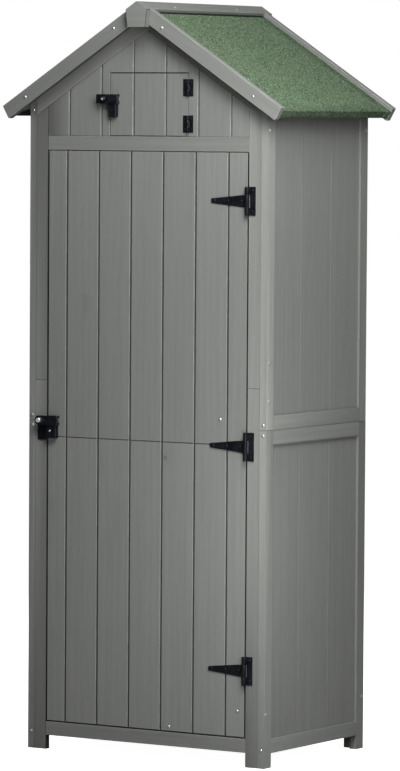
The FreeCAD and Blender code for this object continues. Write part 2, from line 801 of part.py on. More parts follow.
# Bargeboards stand a little above the felt and run under the ridge boards
notch_along = cap_width + joint_play
notch_depth = cap_thick + joint_play
barge_foot = barge_drop + barge_width
for face, y in (("front", -roof_half_depth), ("rear", deck_half_depth)):
    for side, hand in ((-1, "left"), (1, "right")):
        tip_foot = slope_point(barge_foot, tip_along, side)
        corners = [slope_point(barge_drop, notch_along, side), slope_point(barge_drop, tip_along, side),
                   tip_foot, ridge_point(barge_foot), ridge_point(notch_depth),
                   slope_point(notch_depth, notch_along, side)]
        boardname = "%s_%s_bargeboard" % (face, hand)
        piece = profile(boardname + "_body", "XZ", corners, y, barge_thick)
        node(boardname, [rounded(piece, [tip_foot], barge_round)])

apex_corners = [(0, total_height), (apex_shoulder, total_height - apex_shoulder * slope_tangent),
                (apex_foot, total_height - apex_height), (-apex_foot, total_height - apex_height),
                (-apex_shoulder, total_height - apex_shoulder * slope_tangent)]
for face, y in (("front", -roof_half_depth - apex_thick), ("rear", roof_half_depth)):
    node(face + "_apex_plate", [profile(face + "_apex", "XZ", apex_corners, y, apex_thick)])

# Door: boards in an upper and a lower half on ledges and upright battens
door_half = opening_x - door_gap
door_edges = board_edges(-door_half, door_half + joint_play, 0)
node("door_lower_boards", board_run("door_lower_board", door_edges, door_foot, door_joint))
node("door_upper_boards", board_run("door_upper_board", door_edges, door_joint + joint_play, door_top))

ledge_y = -half_depth + board
ledge_half = door_half - ledge_inset
ledges = []
for name, middle in (("low", hinge_low), ("middle", hinge_middle), ("top", hinge_top)):
    ledges.append(stick("ledge_" + name, -ledge_half, ledge_y, middle - ledge / 2, ledge_half * 2,
                        ledge_thick, ledge))
for span, below, above in (("lower", hinge_low, hinge_middle), ("upper", hinge_middle, hinge_top)):
    for side, hand in ((-1, "left"), (1, "right")):
        foot = below + ledge / 2 + joint_play
        ledges.append(stick("muntin_%s_%s" % (span, hand), low(side, ledge_half - muntin, ledge_half),
                            ledge_y, foot, muntin, ledge_thick,
                            above - ledge / 2 - joint_play - foot))
node("door_battens", ledges)


# Hinges: a leaf against the timber, knuckles in front of it and a pin through them

def hinge_part(name, leaf_body, axis_x, axis_y, spans, middle, radius, bore):
    """A leaf fused to its knuckles, each from a top to a foot, and bored for the pin."""
    pieces = [leaf_body]
    for i, (top, foot) in enumerate(spans):
        pieces.append(rod("%s_knuckle_%d" % (name, i + 1), axis_x, axis_y, middle + foot,
                          radius, top - foot))
    drill = rod(name + "_bore", axis_x, axis_y, middle - plate_height, bore, plate_height * 2)
    return cut(name, fused(name + "_joined", pieces), drill)


face = -half_depth
door_axis_x = opening_x - door_gap / 2
door_axis_y = face - knuckle - knuckle_stand
strap_half = strap_root / 2
plate_half = plate_height / 2
knuckle_split = strap_half + knuckle_gap
knuckle_clear = knuckle + knuckle_gap
straps = []
plates = []
pins = []
for name, middle in (("low", hinge_low), ("middle", hinge_middle), ("top", hinge_top)):
    tip_x = door_axis_x - strap_length
    tip_half = strap_tip / 2
    root_x = door_axis_x - strap_straight
    outline = [(door_axis_x, middle - strap_half), (root_x, middle - strap_half),
               (tip_x, middle - tip_half), (tip_x, middle + tip_half),
               (root_x, middle + strap_half), (door_axis_x, middle + strap_half)]
    first_hole = strap_hole_root
    last_hole = strap_length - hole_edge
    reaches = [first_hole, (first_hole + last_hole) / 2, last_hole]
    holes = [(door_axis_x - reach, middle, screw_hole) for reach in reaches]
    strap = profile("strap_leaf_" + name, "XZ", outline, face - leaf, leaf, holes)
    strap = rounded(strap, outline[2:4], strap_round)
    straps.append(hinge_part("strap_" + name, strap, door_axis_x, door_axis_y,
                             [(strap_half, -strap_half)], middle, knuckle, pin + pin_fit))
    spans = [(plate_half, knuckle_split), (-knuckle_split, -plate_half)]
    outer = door_axis_x + plate_width
    near = door_axis_x + knuckle_clear
    outline = [(outer, middle - plate_half), (outer, middle + plate_half),
               (door_axis_x, middle + plate_half), (door_axis_x, middle + knuckle_split),
               (near, middle + knuckle_split), (near, middle - knuckle_split),
               (door_axis_x, middle - knuckle_split), (door_axis_x, middle - plate_half)]
    hole_x = door_axis_x + (knuckle_clear + plate_width) / 2
    hole_rise = plate_half - hole_edge
    holes = [(hole_x, z, screw_hole) for z in (middle - hole_rise, middle + hole_rise)]
    plate = profile("plate_leaf_" + name, "XZ", outline, face - leaf, leaf, holes)
    plates.append(hinge_part("plate_" + name, plate, door_axis_x, door_axis_y, spans, middle,
                             knuckle, pin))
    pins.append(rod("hinge_pin_" + name, door_axis_x, door_axis_y, middle - plate_half, pin, plate_height))
node("door_hinge_straps", straps)
node("door_hinge_plates", plates)
node("door_hinge_pins", pins)

# Butt hinges: three knuckles, the middle one on the hatch
hatch_axis_x = hatch_right - hatch_gap / 2
hatch_axis_y = face - butt_knuckle - knuckle_stand
butt_half = butt_height / 2
butt_third = butt_height / 6
butt_split = butt_third + knuckle_gap
butt_clear = butt_knuckle + knuckle_gap
butt_rise = butt_half - butt_hole_edge


def butt_hinge_leaf(name, side, middle, notch):
    """A flat leaf left (-1) or right (1) of the pin, notched between the other's knuckles."""
    outer = hatch_axis_x + butt_leaf * side
    near = hatch_axis_x + butt_clear * side
    if side < 0:
        outline = [(outer, middle - butt_half), (near, middle - butt_half), (near, middle - notch),
                   (hatch_axis_x, middle - notch), (hatch_axis_x, middle + notch),
                   (near, middle + notch), (near, middle + butt_half), (outer, middle + butt_half)]
    else:
        outline = [(outer, middle - butt_half), (outer, middle + butt_half),
                   (hatch_axis_x, middle + butt_half), (hatch_axis_x, middle + notch),
                   (near, middle + notch), (near, middle - notch),
                   (hatch_axis_x, middle - notch), (hatch_axis_x, middle - butt_half)]
    hole_x = hatch_axis_x + (butt_clear + butt_leaf) / 2 * side
    holes = [(hole_x, z, screw_hole) for z in (middle - butt_rise, middle + butt_rise)]
    return profile(name, "XZ", outline, face - butt_metal, butt_metal, holes)


hatch_leaves = []
frame_leaves = []
butt_pins = []
for name, middle in (("low", butt_low), ("high", butt_high)):
    moving = butt_hinge_leaf("hatch_leaf_plate_" + name, -1, middle, butt_third)
    hatch_leaves.append(hinge_part("hatch_leaf_" + name, moving, hatch_axis_x, hatch_axis_y,
                                   [(butt_third, -butt_third)], middle, butt_knuckle,
                                   butt_pin + pin_fit))
    fixed = butt_hinge_leaf("frame_leaf_plate_" + name, 1, middle, butt_split)
    spans = [(butt_half, butt_split), (-butt_split, -butt_half)]
    frame_leaves.append(hinge_part("frame_leaf_" + name, fixed, hatch_axis_x, hatch_axis_y, spans,
                                   middle, butt_knuckle, butt_pin))
    butt_pins.append(rod("butt_pin_" + name, hatch_axis_x, hatch_axis_y, middle - butt_half,
                         butt_pin, butt_height))
node("hatch_hinge_leaves", hatch_leaves)
node("hatch_frame_leaves", frame_leaves)
node("hatch_hinge_pins", butt_pins)

# Hatch: three boards cut from the gable's run, on two ledges
hatch_edges = board_edges(hatch_left + hatch_gap, hatch_right - hatch_gap + joint_play, gable_shift)
node("hatch_boards", board_run("hatch_board", hatch_edges, header_top + hatch_gap, hatch_top - hatch_gap))
hatch_ledges = []
ledge_left = hatch_left + ledge_inset
for name, middle in (("low", butt_low), ("high", butt_high)):
    hatch_ledges.append(stick("hatch_ledge_" + name, ledge_left, ledge_y, middle - hatch_batten / 2,
                              hatch_width - ledge_inset * 2, ledge_thick, hatch_batten))
node("hatch_battens", hatch_ledges)


# Hasps: a pressed base on the door or hatch, a bar that swings on a pin, and a staple post

def hasp(name, edge_x, base_width, bar_foot, reach, end, end_round):
    """Base, pin and bar; returns where the post stands and the bar's front face."""
    base_face = face - hasp_stand
    base_right = edge_x + base_width
    base_foot = bar_foot - hasp_drop
    axis_x = base_right + hasp_knuckle - hasp_bite
    axis_y = base_face + hasp_bite
    bar_top = bar_foot + bar_height
    # The bar's eye takes the middle half of its height, the base's lugs a quarter each
    lug = bar_height / 4
    corners = [(edge_x, base_foot), (base_right, base_foot), (base_right, bar_top), (edge_x, bar_top)]
    shell = profile(name + "_base_shell", "XZ", corners, base_face, hasp_stand)
    shell = rounded(shell, corners, base_round)
    shell = bevelled_front(shell, base_face, base_bevel)
    lugs = []
    for place, foot in (("low", bar_foot), ("high", bar_top - lug)):
        lugs.append(rod("%s_lug_%s" % (name, place), axis_x, axis_y, foot, hasp_knuckle, lug))
        lugs.append(stick("%s_lug_root_%s" % (name, place), base_right - hasp_knuckle,
                          face - hasp_stand / 2, foot, axis_x - base_right + hasp_knuckle,
                          hasp_stand / 2, lug))
    clearance = rod(name + "_clearance", axis_x, axis_y, bar_foot + lug, hasp_knuckle + knuckle_gap,
                    bar_height - lug * 2)
    bore = rod(name + "_base_bore", axis_x, axis_y, bar_foot - lug, hasp_pin, bar_height + lug * 2)
    tools = fused(name + "_base_tools", [clearance, bore])
    node(name + "_base", [cut(name + "_base_part", fused(name + "_base_joined", [shell] + lugs), tools)])
    node(name + "_pin", [rod(name + "_pin_rod", axis_x, axis_y, bar_foot, hasp_pin, bar_height)])

    post_x = axis_x - reach
    post_z = bar_foot + bar_height / 2
    bar_face = axis_y - hasp_knuckle
    bar_left = post_x - end
    neck_foot = bar_foot + lug + knuckle_gap
    neck_top = bar_top - lug - knuckle_gap
    neck_x = axis_x - hasp_knuckle - knuckle_gap
    ends = [(bar_left, bar_foot), (bar_left, bar_top)]
    corners = [ends[0], (neck_x, bar_foot), (neck_x, neck_foot), (axis_x, neck_foot),
               (axis_x, neck_top), (neck_x, neck_top), (neck_x, bar_top), ends[1]]
    strip = profile(name + "_bar_strip", "XZ", corners, bar_face, bar_thick,
                    [(post_x, post_z, post_radius + post_play)])
    strip = rounded(strip, ends, end_round)
    eye_rod = rod(name + "_bar_eye", axis_x, axis_y, neck_foot, hasp_knuckle, neck_top - neck_foot)
    eye_bore = rod(name + "_bar_bore", axis_x, axis_y, bar_foot, hasp_pin + pin_fit, bar_height)
    node(name + "_bar", [cut(name + "_bar_part", fused(name + "_bar_joined", [strip, eye_rod]), eye_bore)])
    return post_x, post_z, bar_face


def staple_plate(name, right, top, width, height):
    """A plate on the frame, given by its upper right corner."""
    corners = [(right - width, top - height), (right, top - height), (right, top), (right - width, top)]
    plate = profile(name, "XZ", corners, face - staple_metal, staple_metal)
    return rounded(plate, corners, iron_round)


def staple_post(name, post_x, post_z, bar_face):
    """A round post riveted to its plate, with a bevelled tip and a hole for a padlock."""
    tip = bar_face - post_reach
    shoulder = tip + post_bevel
    root = face - staple_metal
    bevelled = doc.addObject("Part::Cone", name + "_tip")
    bevelled.Placement = Placement(Vector(), AXIS_TURN["Y"])
    bind(bevelled, "Placement.Base.x", post_x)
    bind(bevelled, "Placement.Base.y", tip)
    bind(bevelled, "Placement.Base.z", post_z)
    bind(bevelled, "Radius1", post_radius - post_bevel)
    bind(bevelled, "Radius2", post_radius)
    bind(bevelled, "Height", post_bevel)
    shank = rod(name + "_shank", post_x, shoulder, post_z, post_radius, root - shoulder, "Y")
    hole = rod(name + "_lock_hole", post_x, bar_face - post_reach / 2, post_z - post_radius * 2,
               lock_hole, post_radius * 4)
    return cut(name + "_part", fused(name + "_joined", [shank, bevelled]), hole)


door_bar_foot = door_joint + door_bar_rise
hatch_bar_foot = header_top + hatch_bar_rise
door_post = hasp("door_hasp", -door_half, door_base_width, door_bar_foot, door_bar_reach,
                 door_bar_end, (bar_height - round_land) / 2)
hatch_post = hasp("hatch_hasp", hatch_left + hatch_gap, hatch_base_width, hatch_bar_foot,
                  hatch_bar_reach, hatch_bar_end, iron_round)
node("staple_plates", [
    staple_plate("door_staple_plate", -opening_x - staple_edge,
                 door_bar_foot + bar_height - door_staple_drop, door_staple_width, door_staple_height),
    staple_plate("hatch_staple_plate", hatch_left - staple_edge,
                 hatch_bar_foot + bar_height - staple_edge, hatch_staple_width, hatch_staple_height),
])
node("staple_posts", [staple_post("door_staple_post", *door_post),
                      staple_post("hatch_staple_post", *hatch_post)])

# Frame screws: a shank in each drilled hole and a round head on the side panel
screws = []
shanks = screw_rods("shank", screw_radius, 0)
for i, (side, y, z) in enumerate(frame_screw_places()):
    x = low(side, half_width, half_width + screw_head_thick)
    head = rod("head_%d" % (i + 1), x, y, z, screw_head, screw_head_thick, "X")
    screws.append(fused("frame_screw_%d" % (i + 1), [shanks[i], head]))
node("frame_screws", screws)

# Check the whole document, then write one file per sub-part
doc.recompute()
for thing in doc.Objects:
    if "Invalid" in thing.State or "Error" in thing.State:
        raise RuntimeError("%s is %s" % (thing.Name, thing.State))
for part in nodes:
    if part.Shape.isNull() or not part.Shape.isValid():
        raise RuntimeError("%s has no valid shape" % part.Label)
    if not part.Shape.Solids:
        raise RuntimeError("%s has no solid" % part.Label)

os.makedirs("parts", exist_ok=True)
for part in nodes:
    part.Shape.exportStep(os.path.join("parts", part.Label + ".step"))
print("%d sub-parts, %d solids" % (len(nodes), sum(len(part.Shape.Solids) for part in nodes)))
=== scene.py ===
import math
import random
from collections import namedtuple

import bmesh
import bpy
from mathutils import Matrix, Vector


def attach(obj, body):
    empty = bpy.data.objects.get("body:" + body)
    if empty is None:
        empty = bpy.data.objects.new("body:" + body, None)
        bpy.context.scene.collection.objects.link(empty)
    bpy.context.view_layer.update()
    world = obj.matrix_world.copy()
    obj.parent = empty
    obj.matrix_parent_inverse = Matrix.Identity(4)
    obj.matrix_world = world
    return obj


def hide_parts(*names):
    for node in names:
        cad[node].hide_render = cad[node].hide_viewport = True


# The cabinet comes in as it was packed: every solid piece in its place, on the body it moves with.
# What follows planes, stains, coats and screws those pieces, in the order in which it is put together.
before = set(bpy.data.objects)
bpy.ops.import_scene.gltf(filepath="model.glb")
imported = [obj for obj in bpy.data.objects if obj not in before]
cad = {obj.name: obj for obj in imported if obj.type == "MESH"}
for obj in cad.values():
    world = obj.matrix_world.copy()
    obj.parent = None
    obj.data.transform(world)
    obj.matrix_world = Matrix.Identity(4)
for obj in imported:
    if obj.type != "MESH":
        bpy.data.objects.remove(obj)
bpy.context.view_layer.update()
scene = bpy.context.scene
bpy.ops.object.select_all(action="DESELECT")


# Side panels: two halves a side, each a frame of two uprights and two rails round three thin boards.
# Planed softwood with sanded arrises, dipped in a thin grey stain that shows the grain. How a timber
# is copied from the frame, planed, marked and stained is worked out here, on the first ones made.
def first_of(owner, number):
    """The number that stands for a whole connected group."""
    while owner[number] != number:
        owner[number] = owner[owner[number]]
        number = owner[number]
    return number


def copied_solids(node, name):
    """A new piece with the same solids as a CAD node, each with its corners merged."""
    decimals = 6
    mesh = cad[node].data
    corners = [tuple(round(c, decimals) for c in vertex.co) for vertex in mesh.vertices]
    rings = [[corners[i] for i in face.vertices] for face in mesh.polygons]
    rings = [ring for ring in rings if len(set(ring)) == 3]
    beside = {}
    for number, ring in enumerate(rings):
        for a, b in zip(ring, ring[1:] + ring[:1]):
            beside.setdefault((a, b), []).append(number)
    owner = list(range(len(rings)))
    for (a, b), here in beside.items():
        for number in here:
            other = min(beside.get((b, a), [number]), key=lambda n: abs(n - number))
            owner[first_of(owner, other)] = first_of(owner, number)
    places = {}
    triangles = []
    for number, ring in enumerate(rings):
        solid = first_of(owner, number)
        triangles.append([places.setdefault((solid, corner), len(places)) for corner in ring])
    copy = bpy.data.meshes.new(name)
    copy.from_pydata([corner for solid, corner in places], [], triangles)
    piece = bpy.data.objects.new(name, copy)
    scene.collection.objects.link(piece)
    return piece


def work_on(piece):
    """Make a piece the only one selected."""
    bpy.ops.object.select_all(action="DESELECT")
    piece.select_set(True)
    bpy.context.view_layer.objects.active = piece


def clean_faces(piece):
    """Join the triangles of each flat face."""
    flat_within = math.radians(0.6)
    work_on(piece)
    bpy.ops.object.mode_set(mode="EDIT")
    bpy.ops.mesh.select_all(action="SELECT")
    bpy.ops.mesh.dissolve_limited(angle_limit=flat_within)
    bpy.ops.object.mode_set(mode="OBJECT")


def round_edges(piece, width, sharper_than):
    """Round every edge that is sharper than an angle in degrees."""
    work_on(piece)
    soften = piece.modifiers.new("arris", "BEVEL")
    soften.width = width
    soften.segments = 2
    soften.limit_method = "ANGLE"
    soften.angle_limit = math.radians(sharper_than)
    bpy.ops.object.modifier_apply(modifier=soften.name)


def ease_arrises(piece, width):
    """Round the arrises of a timber or sheet a little, and keep its faces flat."""
    round_edges(piece, width, sharper_than=32)
    bpy.ops.object.shade_smooth()
    even = piece.modifiers.new("flats", "WEIGHTED_NORMAL")
    even.keep_sharp = True
    even.weight = 90
    bpy.ops.object.modifier_apply(modifier=even.name)


def written(piece, name, values, kind="FLOAT", on="FACE"):
    """Write a value for each face, or each point, on a piece."""
    where = piece.data.attributes.new(name, kind, on).data
    where.foreach_set("vector" if kind == "FLOAT_VECTOR" else "value", values)


# A seam is a line of painted shade where two timbers meet or a gap opens: the faces within a reach of
# a place on one axis, on either side of the middle, that are narrow enough and face far enough along
# that axis. With CUT_BAND for the facing it takes all faces there, and a thin band is cut to hold the
# line.
Seam = namedtuple("Seam", "way place reach widest facing dark")
ACROSS, DEEP, UP = 0, 1, 2
ANY_WIDTH = 1.0
CUT_BAND = -1


def mark_timbers(piece, grain, arris, joint=0.0, seams=()):
    """Write on each timber of a piece where its grain runs, its tone, arrises, ends and painted shade.
    """
    mesh = piece.data
    owner = list(range(len(mesh.vertices)))
    for edge in mesh.edges:
        a, b = edge.vertices
        owner[first_of(owner, a)] = first_of(owner, b)
    timbers = {}
    for vertex in mesh.vertices:
        timbers.setdefault(first_of(owner, vertex.index), []).append(vertex)
    log_length = 7
    places = [0.0] * (3 * len(mesh.vertices))
    tones = [0.0] * len(mesh.vertices)
    lie_of = {}
    square = (Vector((1, 0, 0)), Vector((0, 1, 0)), Vector((0, 0, 1)))
    for vertices in timbers.values():
        middle = sum((v.co for v in vertices), Vector()) / len(vertices)
        spans = {}
        for way in square:
            reach = [v.co @ way for v in vertices]
            spans[tuple(way)] = max(reach) - min(reach)
        if grain == "slope":
            along = Vector((math.cos(slope), 0, -math.copysign(math.sin(slope), middle.x)))
        else:
            along = Vector(grain or max(spans, key=spans.get)).normalized()
        side = along.cross(Vector((0, 1, 0)) if abs(along.y) < 0.5 else Vector((0, 0, 1))).normalized()
        deep = along.cross(side)
        reach = [[v.co @ way for v in vertices] for way in (side, deep)]
        if max(reach[0]) - min(reach[0]) < max(reach[1]) - min(reach[1]):
            side, deep = deep, side
        seed = sum(round(c * spread) for c, spread in zip(middle, (4111, 977, 1531)))
        chance = random.Random(seed)
        start = Vector([chance.uniform(0, log_length) for axis in range(3)])
        tone = chance.uniform(-1, 1)
        for v in vertices:
            local = v.co - middle
            i = v.index
            places[3 * i : 3 * i + 3] = (
                start.x + local @ along,
                start.y + local @ side,
                start.z + local @ deep,
            )
            tones[i] = tone
            lie_of[i] = (along, deep)
    beside_grain, sawn_square, end_face = 0.3, 0.95, 0.8
    least_slant, most_slant = 0.1, 0.75
    flank_widest = 0.006
    worn_and_lit = []
    ends = []
    joints = []
    for face in mesh.polygons:
        ring = [mesh.vertices[i].co for i in face.vertices]
        rim = sum((a - b).length for a, b in zip(ring, ring[1:] + ring[:1]))
        width = 2 * face.area / rim
        along, deep = lie_of[face.vertices[0]]
        lengthwise = abs(face.normal @ along)
        outward = abs(face.normal @ deep)
        slanting = least_slant < outward < most_slant
        v_flank = slanting and lengthwise < beside_grain and width < flank_widest
        eased_end = beside_grain < lengthwise < sawn_square and width < arris
        # V-joint flanks, eased ends and seams get painted shade; the arrises outside it are made
        # paler.
        shade = joint if v_flank or eased_end else 0.0
        for seam in seams:
            off = abs(abs(face.center[seam.way]) - seam.place)
            near = off < seam.reach and width < seam.widest
            if near and abs(face.normal[seam.way]) > seam.facing:
                shade = max(shade, seam.dark)
        joints.append(shade)
        in_the_open = shade < 0.01
        worn_and_lit.append(1.0 if width < arris and in_the_open else 0.0)
        ends.append(1.0 if lengthwise > end_face else 0.0)
    written(piece, "grain_place", places, "FLOAT_VECTOR", "POINT")
    written(piece, "tone_and_painted_light", tones, on="POINT")
    written(piece, "arris", worn_and_lit)
    written(piece, "end_grain", ends)
    written(piece, "joint", joints)


def scribe(piece, seam):
    """Cut a thin band round a piece where it touches its neighbour, to hold a line of painted shade.
    """
    bpy.ops.object.mode_set(mode="EDIT")
    across = Vector((seam.way == 0, seam.way == 1, seam.way == 2))
    left, right = -seam.place, seam.place
    for edge in (left - seam.reach, left + seam.reach, right - seam.reach, right + seam.reach):
        bpy.ops.mesh.select_all(action="SELECT")
        bpy.ops.mesh.bisect(plane_co=across * edge, plane_no=across)
    bpy.ops.object.mode_set(mode="OBJECT")


def planed(node, body, finish, grain=None, arris=0.0011, joint=0.0, seams=()):
    """A CAD node's timbers with eased arrises, marked grain, painted shade in the joints, and a
    finish.
    """
    piece = copied_solids(node, "planed_" + node)
    clean_faces(piece)
    ease_arrises(piece, arris)
    for seam in seams:
        if seam.facing == CUT_BAND:
            scribe(piece, seam)
    mark_timbers(piece, grain, arris, joint, seams)
    piece.data.materials.append(finish)
    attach(piece, body)
    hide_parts(node)
    return piece


def swell(boards, way):
    """Close the 0.3 mm play between boards, as damp does outdoors, so no light comes through."""
    swelling = 0.00016
    moves = {}
    for face in boards.data.polygons:
        square_to_joint = abs(face.normal[way]) > 0.95
        if square_to_joint:
            for number in face.vertices:
                moves[number] = math.copysign(swelling, face.normal[way])
    for number, move in moves.items():
        boards.data.vertices[number].co[way] += move


def retoned(piece, paler, chosen=lambda place: True):
    """Make the timbers of a piece paler, or darker, where they are chosen."""
    tones = piece.data.attributes["tone_and_painted_light"].data
    for vertex in piece.data.vertices:
        if chosen(vertex.co):
            tones[vertex.index].value += paler


def shader_group(name, inputs, outputs):
    """A new node group, its first node and its last."""
    group = bpy.data.node_groups.new(name, "ShaderNodeTree")
    kinds = {"f": "NodeSocketFloat", "v": "NodeSocketVector", "c": "NodeSocketColor"}
    for label, kind in inputs:
        group.interface.new_socket(label, in_out="INPUT", socket_type=kinds[kind])
    for label, kind in outputs:
        group.interface.new_socket(label, in_out="OUTPUT", socket_type=kinds[kind])
    return group, group.nodes.new("NodeGroupInput"), group.nodes.new("NodeGroupOutput")


def add(tree, kind, **settings):
    """A new shader node with its settings."""
    node = tree.nodes.new("ShaderNode" + kind)
    for setting, value in settings.items():
        setattr(node, setting, value)
    return node


def stretched(tree, place, size):
    """A place stretched or squeezed along the timber."""
    turn = add(tree, "Mapping")
    turn.inputs["Scale"].default_value = size
    tree.links.new(place, turn.inputs["Vector"])
    return turn.outputs["Vector"]


def noise(tree, place, size, detail=3.0, rough=0.55):
    """Noise at a place, from 0 to 1."""
    made = add(tree, "TexNoise")
    made.inputs["Scale"].default_value = size
    made.inputs["Detail"].default_value = detail
    made.inputs["Roughness"].default_value = rough
    tree.links.new(place, made.inputs["Vector"])
    return made.outputs["Fac"]


def ramp(tree, value, low, high, start, end):
    """A value brought smoothly from the range low to high to the range start to end."""
    made = add(tree, "MapRange", interpolation_type="SMOOTHSTEP")
    made.inputs["From Min"].default_value = low
    made.inputs["From Max"].default_value = high
    made.inputs["To Min"].default_value = start
    made.inputs["To Max"].default_value = end
    tree.links.new(value, made.inputs["Value"])
    return made.outputs["Result"]


def sums(tree, operation, a, b):
    """Two values added, multiplied and so on."""
    made = add(tree, "Math", operation=operation)
    for socket, value in zip(made.inputs, (a, b)):
        if isinstance(value, (int, float)):
            socket.default_value = value
        else:
            tree.links.new(value, socket)
    return made.outputs[0]


def blended(tree, share, under, over):
    """One colour over another."""
    made = add(tree, "Mix", data_type="RGBA")
    tree.links.new(share, made.inputs["Factor"])
    for socket, colour in ((made.inputs[6], under), (made.inputs[7], over)):
        if isinstance(colour, tuple):
            socket.default_value = (*colour, 1)
        else:
            tree.links.new(colour, socket)
    return made.outputs[2]


# Paler arrises: wear in patches, and a least share all along them that is a painted highlight.
worn_and_highlit, edge_in, edge_out = shader_group(
    "worn_and_highlit_edges", [("Place", "v"), ("Arris", "f"), ("Least", "f")], [("Mask", "f")]
)
rub_patches = noise(worn_and_highlit, edge_in.outputs["Place"], size=34.0, detail=4.0)
edge_share = ramp(worn_and_highlit, rub_patches, 0.38, 0.62, 0.0, 1.0)
edge_share = sums(worn_and_highlit, "MAXIMUM", edge_share, edge_in.outputs["Least"])
edge_share = sums(worn_and_highlit, "MULTIPLY", edge_share, edge_in.outputs["Arris"])
worn_and_highlit.links.new(edge_share, edge_out.inputs["Mask"])

grained, grain_in, grain_out = shader_group(
    "timber_grain",
    [("Place", "v"), ("Light", "c"), ("Dark", "c"), ("Knot", "c"), ("Knots", "f")],
    [("Colour", "c"), ("Streak", "f"), ("Height", "f"), ("Blotch", "f")],
)
whole_place = grain_in.outputs["Place"]
knot_cells = add(grained, "TexVoronoi")
knot_cells.inputs["Scale"].default_value = 6.5
grained.links.new(stretched(grained, whole_place, (1.0, 1.0, 0.0)), knot_cells.inputs["Vector"])
knot_chance = add(grained, "SeparateColor")
grained.links.new(knot_cells.outputs["Color"], knot_chance.inputs["Color"])
knot_here = ramp(grained, knot_chance.outputs["Red"], 0.78, 0.8, 0.0, 1.0)
knot_here = sums(grained, "MULTIPLY", knot_here, grain_in.outputs["Knots"])
knot_distance = knot_cells.outputs["Distance"]
knot_core = ramp(grained, knot_distance, 0.03, 0.055, 1, 0)
knot_core = sums(grained, "MULTIPLY", knot_core, knot_here)
knot_halo = ramp(grained, knot_distance, 0.02, 0.28, 1, 0)
knot_halo = sums(grained, "MULTIPLY", knot_halo, knot_here)
wander = noise(grained, stretched(grained, whole_place, (1.3, 6.0, 6.0)), size=1.0, detail=2.0)
aside = add(grained, "CombineXYZ")
sway = sums(grained, "MULTIPLY", sums(grained, "SUBTRACT", wander, 0.5), 0.03)
sway = sums(grained, "ADD", sway, sums(grained, "MULTIPLY", knot_halo, 0.012))
grained.links.new(sway, aside.inputs["Y"])
bent = add(grained, "VectorMath", operation="ADD")
grained.links.new(whole_place, bent.inputs[0])
grained.links.new(aside.outputs["Vector"], bent.inputs[1])
bent_place = bent.outputs["Vector"]
rings = add(grained, "TexWave", bands_direction="Y")
rings.inputs["Scale"].default_value = 17.0
rings.inputs["Distortion"].default_value = 5.0
rings.inputs["Detail"].default_value = 3.0
rings.inputs["Detail Scale"].default_value = 0.9
grained.links.new(stretched(grained, bent_place, (0.09, 1.0, 1.0)), rings.inputs["Vector"])
streak_place = stretched(grained, bent_place, (1.7, 62.0, 50.0))
streak = noise(grained, streak_place, size=1.0, detail=5.0, rough=0.62)
fibre_place = stretched(grained, bent_place, (11.0, 620.0, 480.0))
fibre = noise(grained, fibre_place, size=1.0, detail=3.0, rough=0.6)
blotch = noise(grained, stretched(grained, whole_place, (3.0, 10.0, 10.0)), size=1.0)
figure = sums(grained, "MULTIPLY", rings.outputs["Fac"], 0.07)
figure = sums(grained, "ADD", figure, sums(grained, "MULTIPLY", streak, 0.37))
figure = sums(grained, "ADD", figure, sums(grained, "MULTIPLY", fibre, 0.56))
shown = ramp(grained, figure, 0.3, 0.7, 0.0, 1.0)
stain_colour = blended(grained, shown, grain_in.outputs["Dark"], grain_in.outputs["Light"])
halo_share = sums(grained, "MULTIPLY", knot_halo, 0.3)
stain_colour = blended(grained, halo_share, stain_colour, grain_in.outputs["Knot"])
stain_colour = blended(grained, knot_core, stain_colour, grain_in.outputs["Knot"])
fibre_height = sums(grained, "MULTIPLY", fibre, 0.6)
height = sums(grained, "ADD", fibre_height, sums(grained, "MULTIPLY", streak, 0.4))
height = sums(grained, "SUBTRACT", height, sums(grained, "MULTIPLY", knot_core, 0.25))
grained.links.new(stain_colour, grain_out.inputs["Colour"])
grained.links.new(streak, grain_out.inputs["Streak"])
grained.links.new(blotch, grain_out.inputs["Blotch"])
grained.links.new(height, grain_out.inputs["Height"])


def placed_group(tree, group, **values):
    """A shader group with its own values in one material."""
    node = add(tree, "Group", node_tree=group)
    for label, value in values.items():
        if isinstance(value, bpy.types.NodeSocket):
            tree.links.new(value, node.inputs[label])
        else:
            node.inputs[label].default_value = value
    return node


def attribute(tree, name, output="Fac"):
    """A value that is written on the piece."""
    return add(tree, "Attribute", attribute_name=name).outputs[output]


def new_finish(name):
    """A new material, its node tree and its shader."""
    material = bpy.data.materials.new(name)
    material.use_nodes = True
    return material, material.node_tree, material.node_tree.nodes["Principled BSDF"]


def raised(tree, shader, height, strength, distance):
    """A finish's fine relief, from a height."""
    bump = add(tree, "Bump")
    bump.inputs["Strength"].default_value = strength
    bump.inputs["Distance"].default_value = distance
    tree.links.new(height, bump.inputs["Height"])
    tree.links.new(bump.outputs["Normal"], shader.inputs["Normal"])


